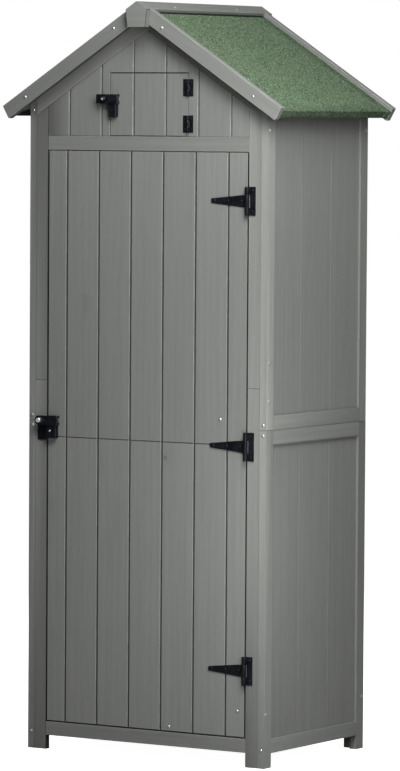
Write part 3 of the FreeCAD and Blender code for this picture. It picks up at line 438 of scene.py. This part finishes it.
def timber_finish(
    name, light, dark, knot, worn_and_lit, knots=1.0, tone_span=0.02, patchy=0.12, relief=0.3, rough=0.62
):
    """Softwood with a stain: grain, knots, board-to-board tone, thirsty ends, worn and painted-highlit
    arrises, painted joint shade.
    """
    joint_shadow = (0.020, 0.021, 0.019)
    material, tree, shader = new_finish(name)
    shader.inputs["Specular IOR Level"].default_value = 0.3
    place = attribute(tree, "grain_place", "Vector")
    grain = placed_group(
        tree, grained, Place=place, Light=(*light, 1), Dark=(*dark, 1), Knot=(*knot, 1), Knots=knots
    )
    edge = placed_group(tree, worn_and_highlit, Place=place, Arris=attribute(tree, "arris"), Least=0.35)
    tone = sums(tree, "MULTIPLY", attribute(tree, "tone_and_painted_light"), tone_span)
    patch = sums(tree, "MULTIPLY", sums(tree, "SUBTRACT", grain.outputs["Blotch"], 0.5), patchy)
    level = sums(tree, "ADD", sums(tree, "ADD", tone, patch), 1.0)
    toned = add(tree, "VectorMath", operation="SCALE")
    tree.links.new(grain.outputs["Colour"], toned.inputs[0])
    tree.links.new(level, toned.inputs["Scale"])
    thirsty = sums(tree, "MULTIPLY", attribute(tree, "end_grain"), 0.45)
    colour = blended(tree, thirsty, toned.outputs["Vector"], dark)
    # Arrises paler as wear and painted highlight; joints and gaps darker as painted shade.
    colour = blended(tree, edge.outputs["Mask"], colour, worn_and_lit)
    colour = blended(tree, attribute(tree, "joint"), colour, joint_shadow)
    tree.links.new(colour, shader.inputs["Base Color"])
    sheen = ramp(tree, grain.outputs["Streak"], 0.25, 0.75, rough + 0.1, rough - 0.08)
    tree.links.new(sheen, shader.inputs["Roughness"])
    raised(tree, shader, grain.outputs["Height"], relief, 0.0005)
    return material


# Painted shade lines: the gap round the door, and where gable, corners, rails and uprights meet.
door_gap = Seam(ACROSS, 0.2808, 0.0035, ANY_WIDTH, facing=0.5, dark=0.97)
gable_seam = Seam(ACROSS, 0.2825, 0.0006, ANY_WIDTH, CUT_BAND, dark=0.8)
corner_seam = Seam(ACROSS, 0.3155, 0.0006, ANY_WIDTH, CUT_BAND, dark=0.4)
rail_seam = Seam(UP, 0.792, 0.0007, ANY_WIDTH, CUT_BAND, dark=0.55)
upright_seam = Seam(UP, 0.889, 0.0007, ANY_WIDTH, CUT_BAND, dark=0.5)
grey_frame = timber_finish(
    "grey_stained_frame",
    light=(0.250, 0.258, 0.243),
    dark=(0.214, 0.221, 0.208),
    knot=(0.125, 0.126, 0.114),
    worn_and_lit=(0.318, 0.326, 0.309),
    knots=0.35,
)
grey_boards = timber_finish(
    "grey_stained_boards",
    light=(0.246, 0.254, 0.240),
    dark=(0.208, 0.215, 0.204),
    knot=(0.125, 0.126, 0.114),
    worn_and_lit=(0.335, 0.344, 0.325),
    knots=0.6,
)
front_uprights_end = -0.195
lit_corner_paler = {"lower": 9.0, "upper": 15.0}
for side in ("left", "right"):
    for half in ("lower", "upper"):
        side_frame = planed(
            f"{side}_side_{half}_frame",
            "cabinet",
            grey_frame,
            joint=0.5,
            seams=(door_gap, corner_seam, rail_seam),
        )
        # The right frames' front uprights are paler: a painted highlight on the corner nearest the
        # lamps.
        if side == "right":
            paler = lit_corner_paler[half]
            retoned(side_frame, paler, lambda place: place.y < front_uprights_end)
        boards = f"{side}_side_{half}_boards"
        side_boards = planed(
            boards, "cabinet", grey_boards, arris=0.0006, joint=0.25
        )
        swell(side_boards, DEEP)

# Back: two framed halves and a gable with boards let into them, all of the same grey stained softwood.
# It is held between the side panels by screws through their uprights.
UPRIGHT = (0, 0, 1)
for part in ("back_lower_frame", "back_upper_frame"):
    planed(part, "cabinet", grey_frame)
for part in ("back_lower_boards", "back_upper_boards", "back_gable_boards"):
    back_boards = planed(
        part, "cabinet", grey_boards, grain=UPRIGHT, arris=0.0006
    )
    swell(back_boards, ACROSS)

# Front: uprights in two lengths, a rail under the door and one over it, and behind them the stops
# that the door closes against. Sawn from the same grey stained softwood as the side frames.
for part in ("front_lower_stiles", "front_upper_stiles"):
    uprights = planed(
        part,
        "cabinet",
        grey_frame,
        joint=0.6,
        seams=(door_gap, gable_seam, corner_seam, upright_seam),
    )
    # Painted light on the upper stiles: the right one paler, the left one darker.
    if part == "front_upper_stiles":
        retoned(uprights, 2.0, lambda place: place.x > 0)
        retoned(uprights, -6.0, lambda place: place.x <= 0)
for part in ("front_bottom_rail", "front_header_rail"):
    planed(part, "cabinet", grey_frame)
planed("door_stops", "cabinet", grey_frame)

# Gable: short upright boards with V-joints round the hatch opening, under two sloping rails.
# The boards are cut to the slope and pinned to the rails from behind, so no nail shows.
slope = math.radians(32.5)
planed(
    "front_gable_boards",
    "cabinet",
    grey_boards,
    grain=UPRIGHT,
    arris=0.0009,
    joint=0.55,
    seams=(door_gap, gable_seam),
)
planed("front_slope_rails", "cabinet", grey_frame, grain="slope")

# Inside: floor boards on bearers, two loose shelves and the gable's floor, all on side battens.
# Plain sawn softwood with one thin coat of the grey stain, so it is paler and rougher than outside.
thin_grey = timber_finish(
    "thinly_stained_shelves",
    light=(0.330, 0.322, 0.280),
    dark=(0.236, 0.228, 0.190),
    knot=(0.125, 0.098, 0.066),
    worn_and_lit=(0.385, 0.365, 0.300),
    knots=1.0,
    tone_span=0.09,
    patchy=0.22,
    relief=0.55,
    rough=0.74,
)
for part in ("floor_boards", "floor_bearers", "lower_shelf", "middle_shelf"):
    planed(part, "cabinet", thin_grey)
for part in ("attic_floor", "shelf_battens"):
    planed(part, "cabinet", thin_grey)

# Roof: five boards a side laid from gable to gable, on battens that follow the slope inside the walls.
# The boards are rough softwood, barely stained, because the felt covers them.
roof_wood = timber_finish(
    "rough_roof_boards",
    light=(0.372, 0.338, 0.272),
    dark=(0.262, 0.226, 0.170),
    knot=(0.140, 0.096, 0.058),
    worn_and_lit=(0.420, 0.380, 0.300),
    knots=1.0,
    tone_span=0.1,
    patchy=0.22,
    relief=0.6,
    rough=0.78,
)
FRONT_TO_BACK = (0, 1, 0)
for part in ("left_roof_deck", "right_roof_deck"):
    planed(part, "cabinet", roof_wood, grain=FRONT_TO_BACK, arris=0.0006)
planed("roof_battens", "cabinet", grey_frame, grain="slope")

# Felt: one sheet of bitumen felt with green mineral grit, folded over both eaves and tucked under.
# It lies a little uneven over the boards. Its grit mixes green, dark and pale grains; the sheet's
# back is bare black bitumen, and a black band along the ridge boards' lower edges is a painted shadow.
felt_grit, tree, shader = new_finish("green_mineral_felt")
shader.inputs["Specular IOR Level"].default_value = 0.22
spot = add(tree, "TexCoord").outputs["Object"]
grains = add(tree, "TexVoronoi")
grains.inputs["Scale"].default_value = 520.0
tree.links.new(spot, grains.inputs["Vector"])
grain_pick = add(tree, "SeparateColor")
tree.links.new(grains.outputs["Color"], grain_pick.inputs["Color"])
clusters = noise(tree, spot, size=190.0, rough=0.7)
patches = noise(tree, spot, size=7.0)
deep_green = (0.044, 0.079, 0.041)
mid_green = (0.145, 0.216, 0.130)
dusty_green = (0.123, 0.169, 0.103)
dark_grains = (0.023, 0.041, 0.025)
pale_grains = (0.310, 0.370, 0.270)
bitumen_and_shadow_black = (0.014, 0.015, 0.016)
greens = blended(tree, ramp(tree, clusters, 0.4, 0.6, 0, 1), deep_green, mid_green)
greens = blended(tree, ramp(tree, patches, 0.3, 0.7, 0, 0.4), greens, dusty_green)
dark_share = ramp(tree, grain_pick.outputs["Red"], 0.74, 0.8, 0, 0.75)
pale_share = ramp(tree, grain_pick.outputs["Green"], 0.86, 0.92, 0, 0.7)
greens = blended(tree, dark_share, greens, dark_grains)
greens = blended(tree, pale_share, greens, pale_grains)
greens = blended(tree, attribute(tree, "bitumen_and_painted_shadow"), greens, bitumen_and_shadow_black)
tree.links.new(greens, shader.inputs["Base Color"])
tree.links.new(ramp(tree, clusters, 0.3, 0.7, 0.98, 0.86), shader.inputs["Roughness"])
hollows = sums(tree, "MULTIPLY", grains.outputs["Distance"], 0.6)
raised(tree, shader, sums(tree, "SUBTRACT", clusters, hollows), strength=0.8, distance=0.0012)

felt = copied_solids("roof_felt", "laid_roof_felt")
clean_faces(felt)
ease_arrises(felt, 0.0005)
# A band on each slope along the ridge boards' lower edges is cut to hold a painted shadow.
ridge_shadow_near, ridge_shadow_far = 0.0234, 0.0296
cuts_deep = [-0.231 + step * 0.022 for step in range(22)]
cuts_across = [ridge_shadow_near, ridge_shadow_far] + [0.043 + step * 0.021 for step in range(16)]
bpy.ops.object.mode_set(mode="EDIT")
for place in cuts_deep:
    bpy.ops.mesh.select_all(action="SELECT")
    bpy.ops.mesh.bisect(plane_co=(0, place, 0), plane_no=(0, 1, 0))
for place in cuts_across:
    for way in (-1, 1):
        bpy.ops.mesh.select_all(action="SELECT")
        bpy.ops.mesh.bisect(plane_co=(way * place, 0, 0), plane_no=(1, 0, 0))
bpy.ops.object.mode_set(mode="OBJECT")
felt_peak = 1.7805
skin = 0.0006
held_across, held_deep = 0.375, 0.244
deepest_sag = 0.0008
for vertex in felt.data.vertices:
    x, y, z = vertex.co
    upper_face = felt_peak - abs(x) * math.tan(slope)
    on_top = z > upper_face - skin
    if on_top and abs(x) < held_across and abs(y) < held_deep:
        wave_across = math.sin(x * 61 + 1.3)
        wave_deep = math.sin(y * 47 + x * 23)
        vertex.co.z -= deepest_sag * (0.5 + 0.25 * wave_across + 0.25 * wave_deep)
black_faces = []
for face in felt.data.polygons:
    # Faces turned down are the bitumen back; the band by the ridge boards is a painted shadow.
    in_ridge_shadow = ridge_shadow_near < abs(face.center.x) < ridge_shadow_far
    underside = face.normal.z < -0.7
    black_faces.append(1.0 if underside or in_ridge_shadow else 0.0)
written(felt, "bitumen_and_painted_shadow", black_faces)
felt.data.materials.append(felt_grit)
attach(felt, "cabinet")
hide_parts("roof_felt")

# Roof trim: two ridge boards over the felt, a bargeboard down each slope at both ends, and a
# six-sided plate over the joint of the bargeboards. Grey stained softwood, screwed on from outside;
# the bargeboards stand a little proud of the felt, and are notched for the ridge boards.
# Painted shade down the apex plates' sides: dark on the narrow arrises, light on the side faces.
plate_sides = (
    Seam(ACROSS, 0.0285, 0.003, widest=0.0012, facing=0.3, dark=0.85),
    Seam(ACROSS, 0.0285, 0.003, ANY_WIDTH, facing=0.5, dark=0.25),
)
SIDE_TO_SIDE = (1, 0, 0)
ridge = 1.79
top_rise = 0.0052
rise_lost_per_metre = 0.075
tip_from = 0.36
ridge_notch = (0.006, 0.02)
for end in ("front", "rear"):
    for way in ("left", "right"):
        board = f"{end}_{way}_bargeboard"
        laid = planed(board, "cabinet", grey_frame, grain="slope", arris=0.0016)
        for vertex in laid.data.vertices:
            place = vertex.co
            below_top = (ridge - place.z) * math.cos(slope) - abs(place.x) * math.sin(slope)
            rise = top_rise - rise_lost_per_metre * max(below_top, 0)
            if abs(place.x) > tip_from:
                place.z += rise / math.cos(slope)
            elif below_top < ridge_notch[0] or below_top > ridge_notch[1]:
                place.x += math.copysign(rise * math.sin(slope), place.x)
                place.z += rise * math.cos(slope)
        joints = laid.data.attributes["joint"].data
        # The bargeboards' undersides are darkened as painted shade.
        for face in laid.data.polygons:
            underside = face.normal.z < -0.5
            if underside:
                joints[face.index].value = 0.7
        # The left bargeboards are darker: painted shade away from the lamps.
        if way == "left":
            retoned(laid, -3.0)
    plate = f"{end}_apex_plate"
    planed(
        plate,
        "cabinet",
        grey_frame,
        grain=SIDE_TO_SIDE,
        arris=0.0012,
        joint=0.1,
        seams=plate_sides,
    )
for part in ("left_ridge_board", "right_ridge_board"):
    planed(part, "cabinet", grey_frame, grain=FRONT_TO_BACK, arris=0.001)

# Door: tongued and grooved boards with V-joints, in an upper and a lower half that meet end to end.
# Ledges and upright battens behind hold them. Painted shade darkens the joints and the gap round
# the door, and the door fits close under the header rail.
door_top_edge = 1.43
door_top_corners = 1.434
closer_fit = 0.0013
for part, paler in (("door_lower_boards", 8.0), ("door_upper_boards", 4.5)):
    boards = planed(
        part,
        "door",
        grey_boards,
        grain=UPRIGHT,
        arris=0.0009,
        joint=0.9,
        seams=(door_gap,),
    )
    # The boards are paler, the lower half more so: painted light where the lamps leave the door dim.
    retoned(boards, paler)
    joints = boards.data.attributes["joint"].data
    for face in boards.data.polygons:
        faces_up = face.normal.z > 0.3
        if face.center.z > door_top_edge and faces_up:
            joints[face.index].value = 0.0
    for vertex in boards.data.vertices:
        if vertex.co.z > door_top_corners:
            vertex.co.z += closer_fit
planed("door_battens", "door", grey_frame)

# Hatch: cut out of the gable's own boards, so its joints run on above it, with two ledges behind.
# The same stained softwood; the ledges are screwed on from inside.
planed(
    "hatch_boards", "hatch", grey_boards, grain=UPRIGHT, arris=0.0009, joint=0.55
)
planed("hatch_battens", "hatch", grey_frame)

# Ironwork: three T-hinges and two butt hinges of pressed steel, with a satin black powder coat.
# The coat has a fine orange peel and is rubbed thin along the edges of the leaves and knuckles.
black_coat, tree, shader = new_finish("black_powder_coat")
shader.inputs["Specular IOR Level"].default_value = 0.25
spot = add(tree, "TexCoord").outputs["Object"]
peel = noise(tree, spot, size=900.0, detail=2.0)
smears = noise(tree, spot, size=55.0, detail=4.0)
deep_black = (0.0030, 0.0036, 0.0062)
dusty_black = (0.0068, 0.0082, 0.0130)
rubbed_black = (0.013, 0.015, 0.020)
edge = placed_group(tree, worn_and_highlit, Place=spot, Arris=attribute(tree, "arris"), Least=0.1)
coat = blended(tree, ramp(tree, smears, 0.35, 0.65, 0, 1), deep_black, dusty_black)
coat = blended(tree, edge.outputs["Mask"], coat, rubbed_black)
tree.links.new(coat, shader.inputs["Base Color"])
tree.links.new(ramp(tree, smears, 0.3, 0.7, 0.46, 0.6), shader.inputs["Roughness"])
raised(tree, shader, peel, strength=0.22, distance=0.0002)


def coated(node, body, width=0.0004, finish=black_coat):
    """A CAD node's ironwork with smooth barrels, eased edges and its coat."""
    piece = copied_solids(node, "coated_" + node)
    clean_faces(piece)
    round_edges(piece, width, sharper_than=50)
    bpy.ops.object.shade_smooth_by_angle(angle=math.radians(38))
    mark_timbers(piece, UPRIGHT, width)
    piece.data.materials.append(finish)
    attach(piece, body)
    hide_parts(node)
    return piece


coated("door_hinge_straps", "door")
coated("door_hinge_plates", "cabinet")
coated("hatch_hinge_leaves", "hatch")
coated("hatch_frame_leaves", "cabinet")

# Pins of the hinges and hasps, and the two staple posts: turned steel with a bright zinc plate.
# The T-hinges' pins are blackened with their hinges, and so is the hatch's post but for the middle
# of its end. The posts are riveted to their plates.
zinc, tree, shader = new_finish("bright_zinc_plate")
spot = add(tree, "TexCoord").outputs["Object"]
spangle = noise(tree, spot, size=420.0)
turning = noise(tree, stretched(tree, spot, (300.0, 300.0, 2600.0)), size=1.0, detail=2.0)
dull_zinc = (0.56, 0.57, 0.58)
clear_zinc = (0.82, 0.83, 0.84)
blackening = (0.0045, 0.0054, 0.0090)
plate = blended(tree, ramp(tree, spangle, 0.3, 0.7, 0, 1), dull_zinc, clear_zinc)
plate = blended(tree, attribute(tree, "blackened"), plate, blackening)
tree.links.new(plate, shader.inputs["Base Color"])
metal = sums(tree, "SUBTRACT", 0.85, sums(tree, "MULTIPLY", attribute(tree, "blackened"), 0.85))
metal = sums(tree, "SUBTRACT", metal, sums(tree, "MULTIPLY", attribute(tree, "matt_end"), 0.6))
tree.links.new(metal, shader.inputs["Metallic"])
tree.links.new(ramp(tree, spangle, 0.3, 0.7, 0.42, 0.26), shader.inputs["Roughness"])
raised(tree, shader, turning, strength=0.15, distance=0.0001)
posts = coated("staple_posts", "cabinet", 0.0005, zinc)
work_on(posts)
bpy.ops.object.mode_set(mode="EDIT")
bpy.ops.mesh.select_mode(type="FACE")
bpy.ops.mesh.select_all(action="DESELECT")
between_posts = 1.2
whole_end_area, bare_middle_area = 0.00002, 0.00001
blackened_rim = 0.0026
shape = bmesh.from_edit_mesh(posts.data)
for face in shape.faces:
    on_hatch_post = face.calc_center_median().z > between_posts
    face.select = on_hatch_post and face.normal.y < -0.95 and face.calc_area() > whole_end_area
bmesh.update_edit_mesh(posts.data)
bpy.ops.mesh.inset(thickness=blackened_rim)
bpy.ops.object.mode_set(mode="OBJECT")
ends = []
blackened = []
for face in posts.data.polygons:
    on_hatch_post = face.center.z > between_posts
    least_area = bare_middle_area if on_hatch_post else whole_end_area
    bare_end = face.normal.y < -0.95 and face.area > least_area
    ends.append(1.0 if bare_end else 0.0)
    blackened.append(1.0 if on_hatch_post and not bare_end else 0.0)
written(posts, "matt_end", ends)
written(posts, "blackened", blackened)
long_pins = coated("door_hinge_pins", "cabinet", 0.0004, zinc)
written(long_pins, "blackened", [1.0] * len(long_pins.data.polygons))
coated("hatch_hinge_pins", "cabinet", 0.0003, zinc)
coated("door_hasp_pin", "door", 0.0003, zinc)
coated("hatch_hasp_pin", "hatch", 0.0003, zinc)

# Hasps: a pressed box on the door or hatch, a bar that swings on it and drops over the post, and a
# plate under the post. Pressed steel with the same black coat as the hinges.
coated("door_hasp_base", "door", 0.0005)
coated("door_hasp_bar", "door_hasp", 0.0005)
coated("hatch_hasp_base", "hatch", 0.0005)
coated("hatch_hasp_bar", "hatch_hasp", 0.0005)
coated("staple_plates", "cabinet", 0.0004)


# Screws: crosshead, with a low domed head. Black ones hold the ironwork, but for a bright one in the
# base of the door's hasp; zinc ones hold the timber, and two nails a side hold the felt. One head is
# shaped and its recess cut, and each screw is a copy turned to face out of its piece.
def screw_head(name, radius, rise, recess=True):
    """A domed head that faces +Z, with a cross recess unless it is a nail's."""
    crown = 0.72
    arm, slot = 0.95, 0.2
    bpy.ops.object.select_all(action="DESELECT")
    bpy.ops.mesh.primitive_cylinder_add(
        vertices=20, radius=radius, depth=rise, location=(0, 0, rise / 2)
    )
    head = bpy.context.object
    head.name = name
    bpy.ops.object.transform_apply(location=True, rotation=True, scale=True)
    bpy.ops.object.mode_set(mode="EDIT")
    bpy.ops.mesh.select_mode(type="FACE")
    bpy.ops.mesh.select_all(action="DESELECT")
    shape = bmesh.from_edit_mesh(head.data)
    for face in shape.faces:
        face.select = face.normal.z > 0.9
    bmesh.update_edit_mesh(head.data)
    bpy.ops.transform.resize(value=(crown, crown, 1))
    bpy.ops.mesh.inset(thickness=radius * 0.26, depth=rise * 0.22)
    bpy.ops.object.mode_set(mode="OBJECT")
    cutters = []
    for wide, deep in ((arm, slot), (slot, arm)) if recess else ():
        bpy.ops.mesh.primitive_cube_add(size=1, location=(0, 0, rise * 1.2))
        cutter = bpy.context.object
        cutter.scale = (radius * wide, radius * deep, rise * 1.3)
        bpy.ops.object.transform_apply(location=True, rotation=True, scale=True)
        cutters.append(cutter)
    for cutter in cutters:
        work_on(head)
        cross = head.modifiers.new("cross", "BOOLEAN")
        cross.operation = "DIFFERENCE"
        cross.object = cutter
        cross.solver = "EXACT"
        bpy.ops.object.modifier_apply(modifier=cross.name)
        bpy.data.objects.remove(cutter)
    bpy.ops.object.shade_smooth_by_angle(angle=math.radians(40))
    return head


def drive_screws(name, head, places, outward, body, coat):
    """Copies of a head at these places, facing outward, joined as one set of screws."""
    finish, slot = coat
    chance = random.Random(len(places) * 31 + round(places[0][2] * 1000))
    turn = Vector((0, 0, 1)).rotation_difference(Vector(outward)).to_matrix().to_4x4()
    copies = []
    for place in places:
        one = bpy.data.objects.new(name, head.data.copy())
        spin = Matrix.Rotation(chance.uniform(0, math.pi), 4, "Z")
        one.data.transform(Matrix.Translation(Vector(place)) @ turn @ spin)
        scene.collection.objects.link(one)
        copies.append(one)
    bpy.ops.object.select_all(action="DESELECT")
    for one in copies:
        one.select_set(True)
    bpy.context.view_layer.objects.active = copies[0]
    bpy.ops.object.join()
    screws = bpy.context.object
    screws.name = name
    screws.data.materials.clear()
    screws.data.materials.append(finish)
    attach(screws, body)
    return screws


FORWARD = (0, -1, 0)
BACKWARD = (0, 1, 0)
BLACK = (black_coat, "black_iron")
BRIGHT = (zinc, "zinc_steel")
sides = ((1, "right"), (-1, "left"))

hinge_face = -0.230
hinge_heights = (0.227, 0.752, 1.325)
strap_holes = (0.26275, 0.22625, 0.18975)
plate_hole, plate_hole_rise = 0.2935, 0.0245
strap_head = screw_head("strap_screw_head", radius=0.0036, rise=0.0013)
strap_places = [(x, hinge_face, z) for z in hinge_heights for x in strap_holes]
drive_screws("door_strap_screws", strap_head, strap_places, FORWARD, "door", BLACK)
plate_places = [
    (plate_hole, hinge_face, z + rise)
    for z in hinge_heights
    for rise in (-plate_hole_rise, plate_hole_rise)
]
drive_screws("door_plate_screws", strap_head, plate_places, FORWARD, "cabinet", BLACK)

butt_face = -0.2296
butt_heights = (1.503, 1.588)
butt_hole_rise = 0.0124
butt_head = screw_head("butt_screw_head", radius=0.003, rise=0.0009)
for name, x, body in (
    ("hatch_leaf_screws", 0.1053, "hatch"),
    ("hatch_frame_screws", 0.1226, "cabinet"),
):
    butt_places = [
        (x, butt_face, z + rise)
        for z in butt_heights
        for rise in (-butt_hole_rise, butt_hole_rise)
    ]
    drive_screws(name, butt_head, butt_places, FORWARD, body, BLACK)

base_head = screw_head("base_screw_head", radius=0.0026, rise=0.001)
door_base = [(-0.2675, -0.240, 0.7675)]
hatch_base = [(-0.0945, -0.240, 1.5315)]
drive_screws("door_base_screws", base_head, door_base, FORWARD, "door", BRIGHT)
drive_screws("hatch_base_screws", base_head, hatch_base, FORWARD, "hatch", BLACK)

timber_head = screw_head("timber_screw_head", radius=0.0036, rise=0.0013)
bolt_head = screw_head("frame_screw_head", radius=0.0042, rise=0.0014)
side_face = 0.334
for way, name in sides:
    panel_places = [(way * side_face, y, z) for y in (-0.220, 0.220) for z in (0.127, 1.490)]
    joint_places = [(way * side_face, -0.2168, z) for z in (0.860, 0.9495)]
    places = panel_places + joint_places
    side_screws = drive_screws(
        f"{name}_side_screws", bolt_head, places, (way, 0, 0), "cabinet", BRIGHT
    )
    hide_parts("frame_screws")

front_face, rear_face = -0.228, 0.228
edge_places = [(x, z) for x in (-0.3252, 0.3252) for z in (0.042, 0.780, 0.8038, 1.5336)]
front_places = [(x, front_face, z) for x, z in edge_places]
drive_screws("front_edge_screws", timber_head, front_places, FORWARD, "cabinet", BRIGHT)
rear_places = [(x, rear_face, z) for x, z in edge_places]
drive_screws("rear_edge_screws", timber_head, rear_places, BACKWARD, "cabinet", BRIGHT)
board_spots = ((0.2071, 0.813), (0.2595, 0.131), (0.0692, 0.0803))
board_places = [(x, front_face, z) for x, z in board_spots]
drive_screws("door_board_screws", timber_head, board_places, FORWARD, "door", BRIGHT)

barge_face = 0.264
barge_spots = ((-0.3257, 1.5646), (-0.0743, 1.7267), (0.0612, 1.7270), (0.3132, 1.5673))
for end, out in (("front", FORWARD), ("rear", BACKWARD)):
    places = [(x, out[1] * barge_face, z) for x, z in barge_spots]
    drive_screws(f"{end}_bargeboard_screws", timber_head, places, out, "cabinet", BRIGHT)
ridge_hole, ridge_hole_height = 0.0190, 1.7779
for way, name in sides:
    square_to_slope = (way * math.sin(slope), 0, math.cos(slope))
    places = [(way * ridge_hole, y, ridge_hole_height) for y in (-0.141, 0.1357)]
    drive_screws(f"{name}_ridge_screws", timber_head, places, square_to_slope, "cabinet", BRIGHT)

nail_head = screw_head("felt_nail_head", radius=0.0034, rise=0.0008, recess=False)
nail_out, nail_height = 0.2721, 1.6068
for way, name in sides:
    square_to_slope = (way * math.sin(slope), 0, math.cos(slope))
    places = [(way * nail_out, y, nail_height) for y in (-0.2145, 0.2145)]
    drive_screws(f"{name}_felt_nails", nail_head, places, square_to_slope, "cabinet", BRIGHT)
for head in (strap_head, butt_head, base_head, timber_head, bolt_head, nail_head):
    bpy.data.objects.remove(head)

# Studio: a wide pale floor that runs on as the background, soft lights round the right front corner,
# one large light behind at the left, and an even dim surround.
bpy.ops.object.select_all(action="DESELECT")
bpy.ops.mesh.primitive_plane_add(size=60, location=(0, 0, 0))
floor = bpy.context.object
floor.name = "studio_floor"
bpy.ops.object.transform_apply(location=True, rotation=True, scale=True)
pale = bpy.data.materials.new("pale_studio_floor")
pale.use_nodes = True
tree = pale.node_tree
tree.nodes.remove(tree.nodes["Principled BSDF"])
bounce = add(tree, "BsdfDiffuse")
bounce.inputs["Color"].default_value = (0.35, 0.35, 0.35, 1)
matte = add(tree, "BsdfDiffuse")
matte.inputs["Color"].default_value = (0.9, 0.9, 0.9, 1)
glow = add(tree, "Emission")
glow.inputs["Strength"].default_value = 0.985
looked_at = add(tree, "AddShader")
tree.links.new(matte.outputs[0], looked_at.inputs[0])
tree.links.new(glow.outputs[0], looked_at.inputs[1])


def seen_apart(tree, lit, seen, output):
    """The camera sees one shader, and the light in the room comes from the other."""
    which = add(tree, "MixShader")
    tree.links.new(add(tree, "LightPath").outputs["Is Camera Ray"], which.inputs["Fac"])
    tree.links.new(lit.outputs[0], which.inputs[1])
    tree.links.new(seen.outputs[0], which.inputs[2])
    tree.links.new(which.outputs[0], output.inputs["Surface"])


seen_apart(tree, bounce, looked_at, tree.nodes["Material Output"])
floor.data.materials.append(pale)

surround = bpy.data.worlds.new("pale_surround")
surround.use_nodes = True
scene.world = surround
tree = surround.node_tree
for node in list(tree.nodes):
    tree.nodes.remove(node)
seen = add(tree, "Background")
seen.inputs["Color"].default_value = (1, 1, 1, 1)
seen.inputs["Strength"].default_value = 1.0
lit = add(tree, "Background")
lit.inputs["Color"].default_value = (1, 1, 1, 1)
lit.inputs["Strength"].default_value = 0.04
seen_apart(tree, lit, seen, add(tree, "OutputWorld"))


def soft_light(name, place, target, size, power):
    """A square light that faces a point and is not seen itself."""
    lamp = bpy.data.lights.new(name, "AREA")
    lamp.shape = "SQUARE"
    lamp.size = size
    lamp.energy = power
    holder = bpy.data.objects.new(name, lamp)
    aim = (Vector(target) - Vector(place)).to_track_quat("-Z", "Y")
    holder.matrix_world = Matrix.Translation(Vector(place)) @ aim.to_matrix().to_4x4()
    holder.visible_camera = False
    scene.collection.objects.link(holder)


corner = (0.970, -0.864, 1.8)
low_corner = (0.758, -0.652, 0.55)
high_front = (1.164, -1.870, 3.6)
high_side = (1.6, -1.6, 3.21)
beside = (1.284, -0.978, 2.3)
behind = (-2.0, 2.4, 2.0)
soft_light("corner_light", corner, (0.334, -0.228, 1.8), size=0.55, power=8.3)
soft_light("low_corner_light", low_corner, (0.334, -0.228, 0.55), size=0.55, power=3.8)
soft_light("high_front_light", high_front, (0.2, -0.2, 1.3), size=1.0, power=31.0)
soft_light("high_side_light", high_side, (0, 0, 0.95), size=1.4, power=39.5)
soft_light("side_light", beside, (0.334, -0.228, 1.4), size=0.7, power=4.1)
soft_light("back_light", behind, (0, 0, 1.0), size=1.6, power=70)

# Camera: where the photograph was taken from, with a long lens, eleven metres off the front right
# corner and a little higher than the door, looking slightly down.
yaw = math.radians(32.443)
pitch = math.radians(3.275)
roll = math.radians(0.365)
standpoint = (6.1074, -9.5982, 1.5263)
focal_pixels = 4742.5
photo_height = 771
film = 36
level = math.cos(pitch)
ahead = Vector((-math.sin(yaw) * level, math.cos(yaw) * level, -math.sin(pitch)))
across = Vector((math.cos(yaw), math.sin(yaw), 0))
upward = across.cross(ahead)
right = across * math.cos(roll) + upward * math.sin(roll)
over = upward * math.cos(roll) - across * math.sin(roll)
lens = bpy.data.cameras.new("photo_camera")
lens.sensor_fit = "VERTICAL"
lens.sensor_height = film
lens.sensor_width = film
lens.lens = focal_pixels / photo_height * film
lens.clip_end = 200
lens.dof.use_dof = False
camera = bpy.data.objects.new("photo_camera", lens)
scene.collection.objects.link(camera)
turned = Matrix((right, over, -ahead)).transposed().to_4x4()
camera.matrix_world = Matrix.Translation(standpoint) @ turned
scene.camera = camera
scene.view_settings.view_transform = "Standard"
scene.view_settings.look = "None"
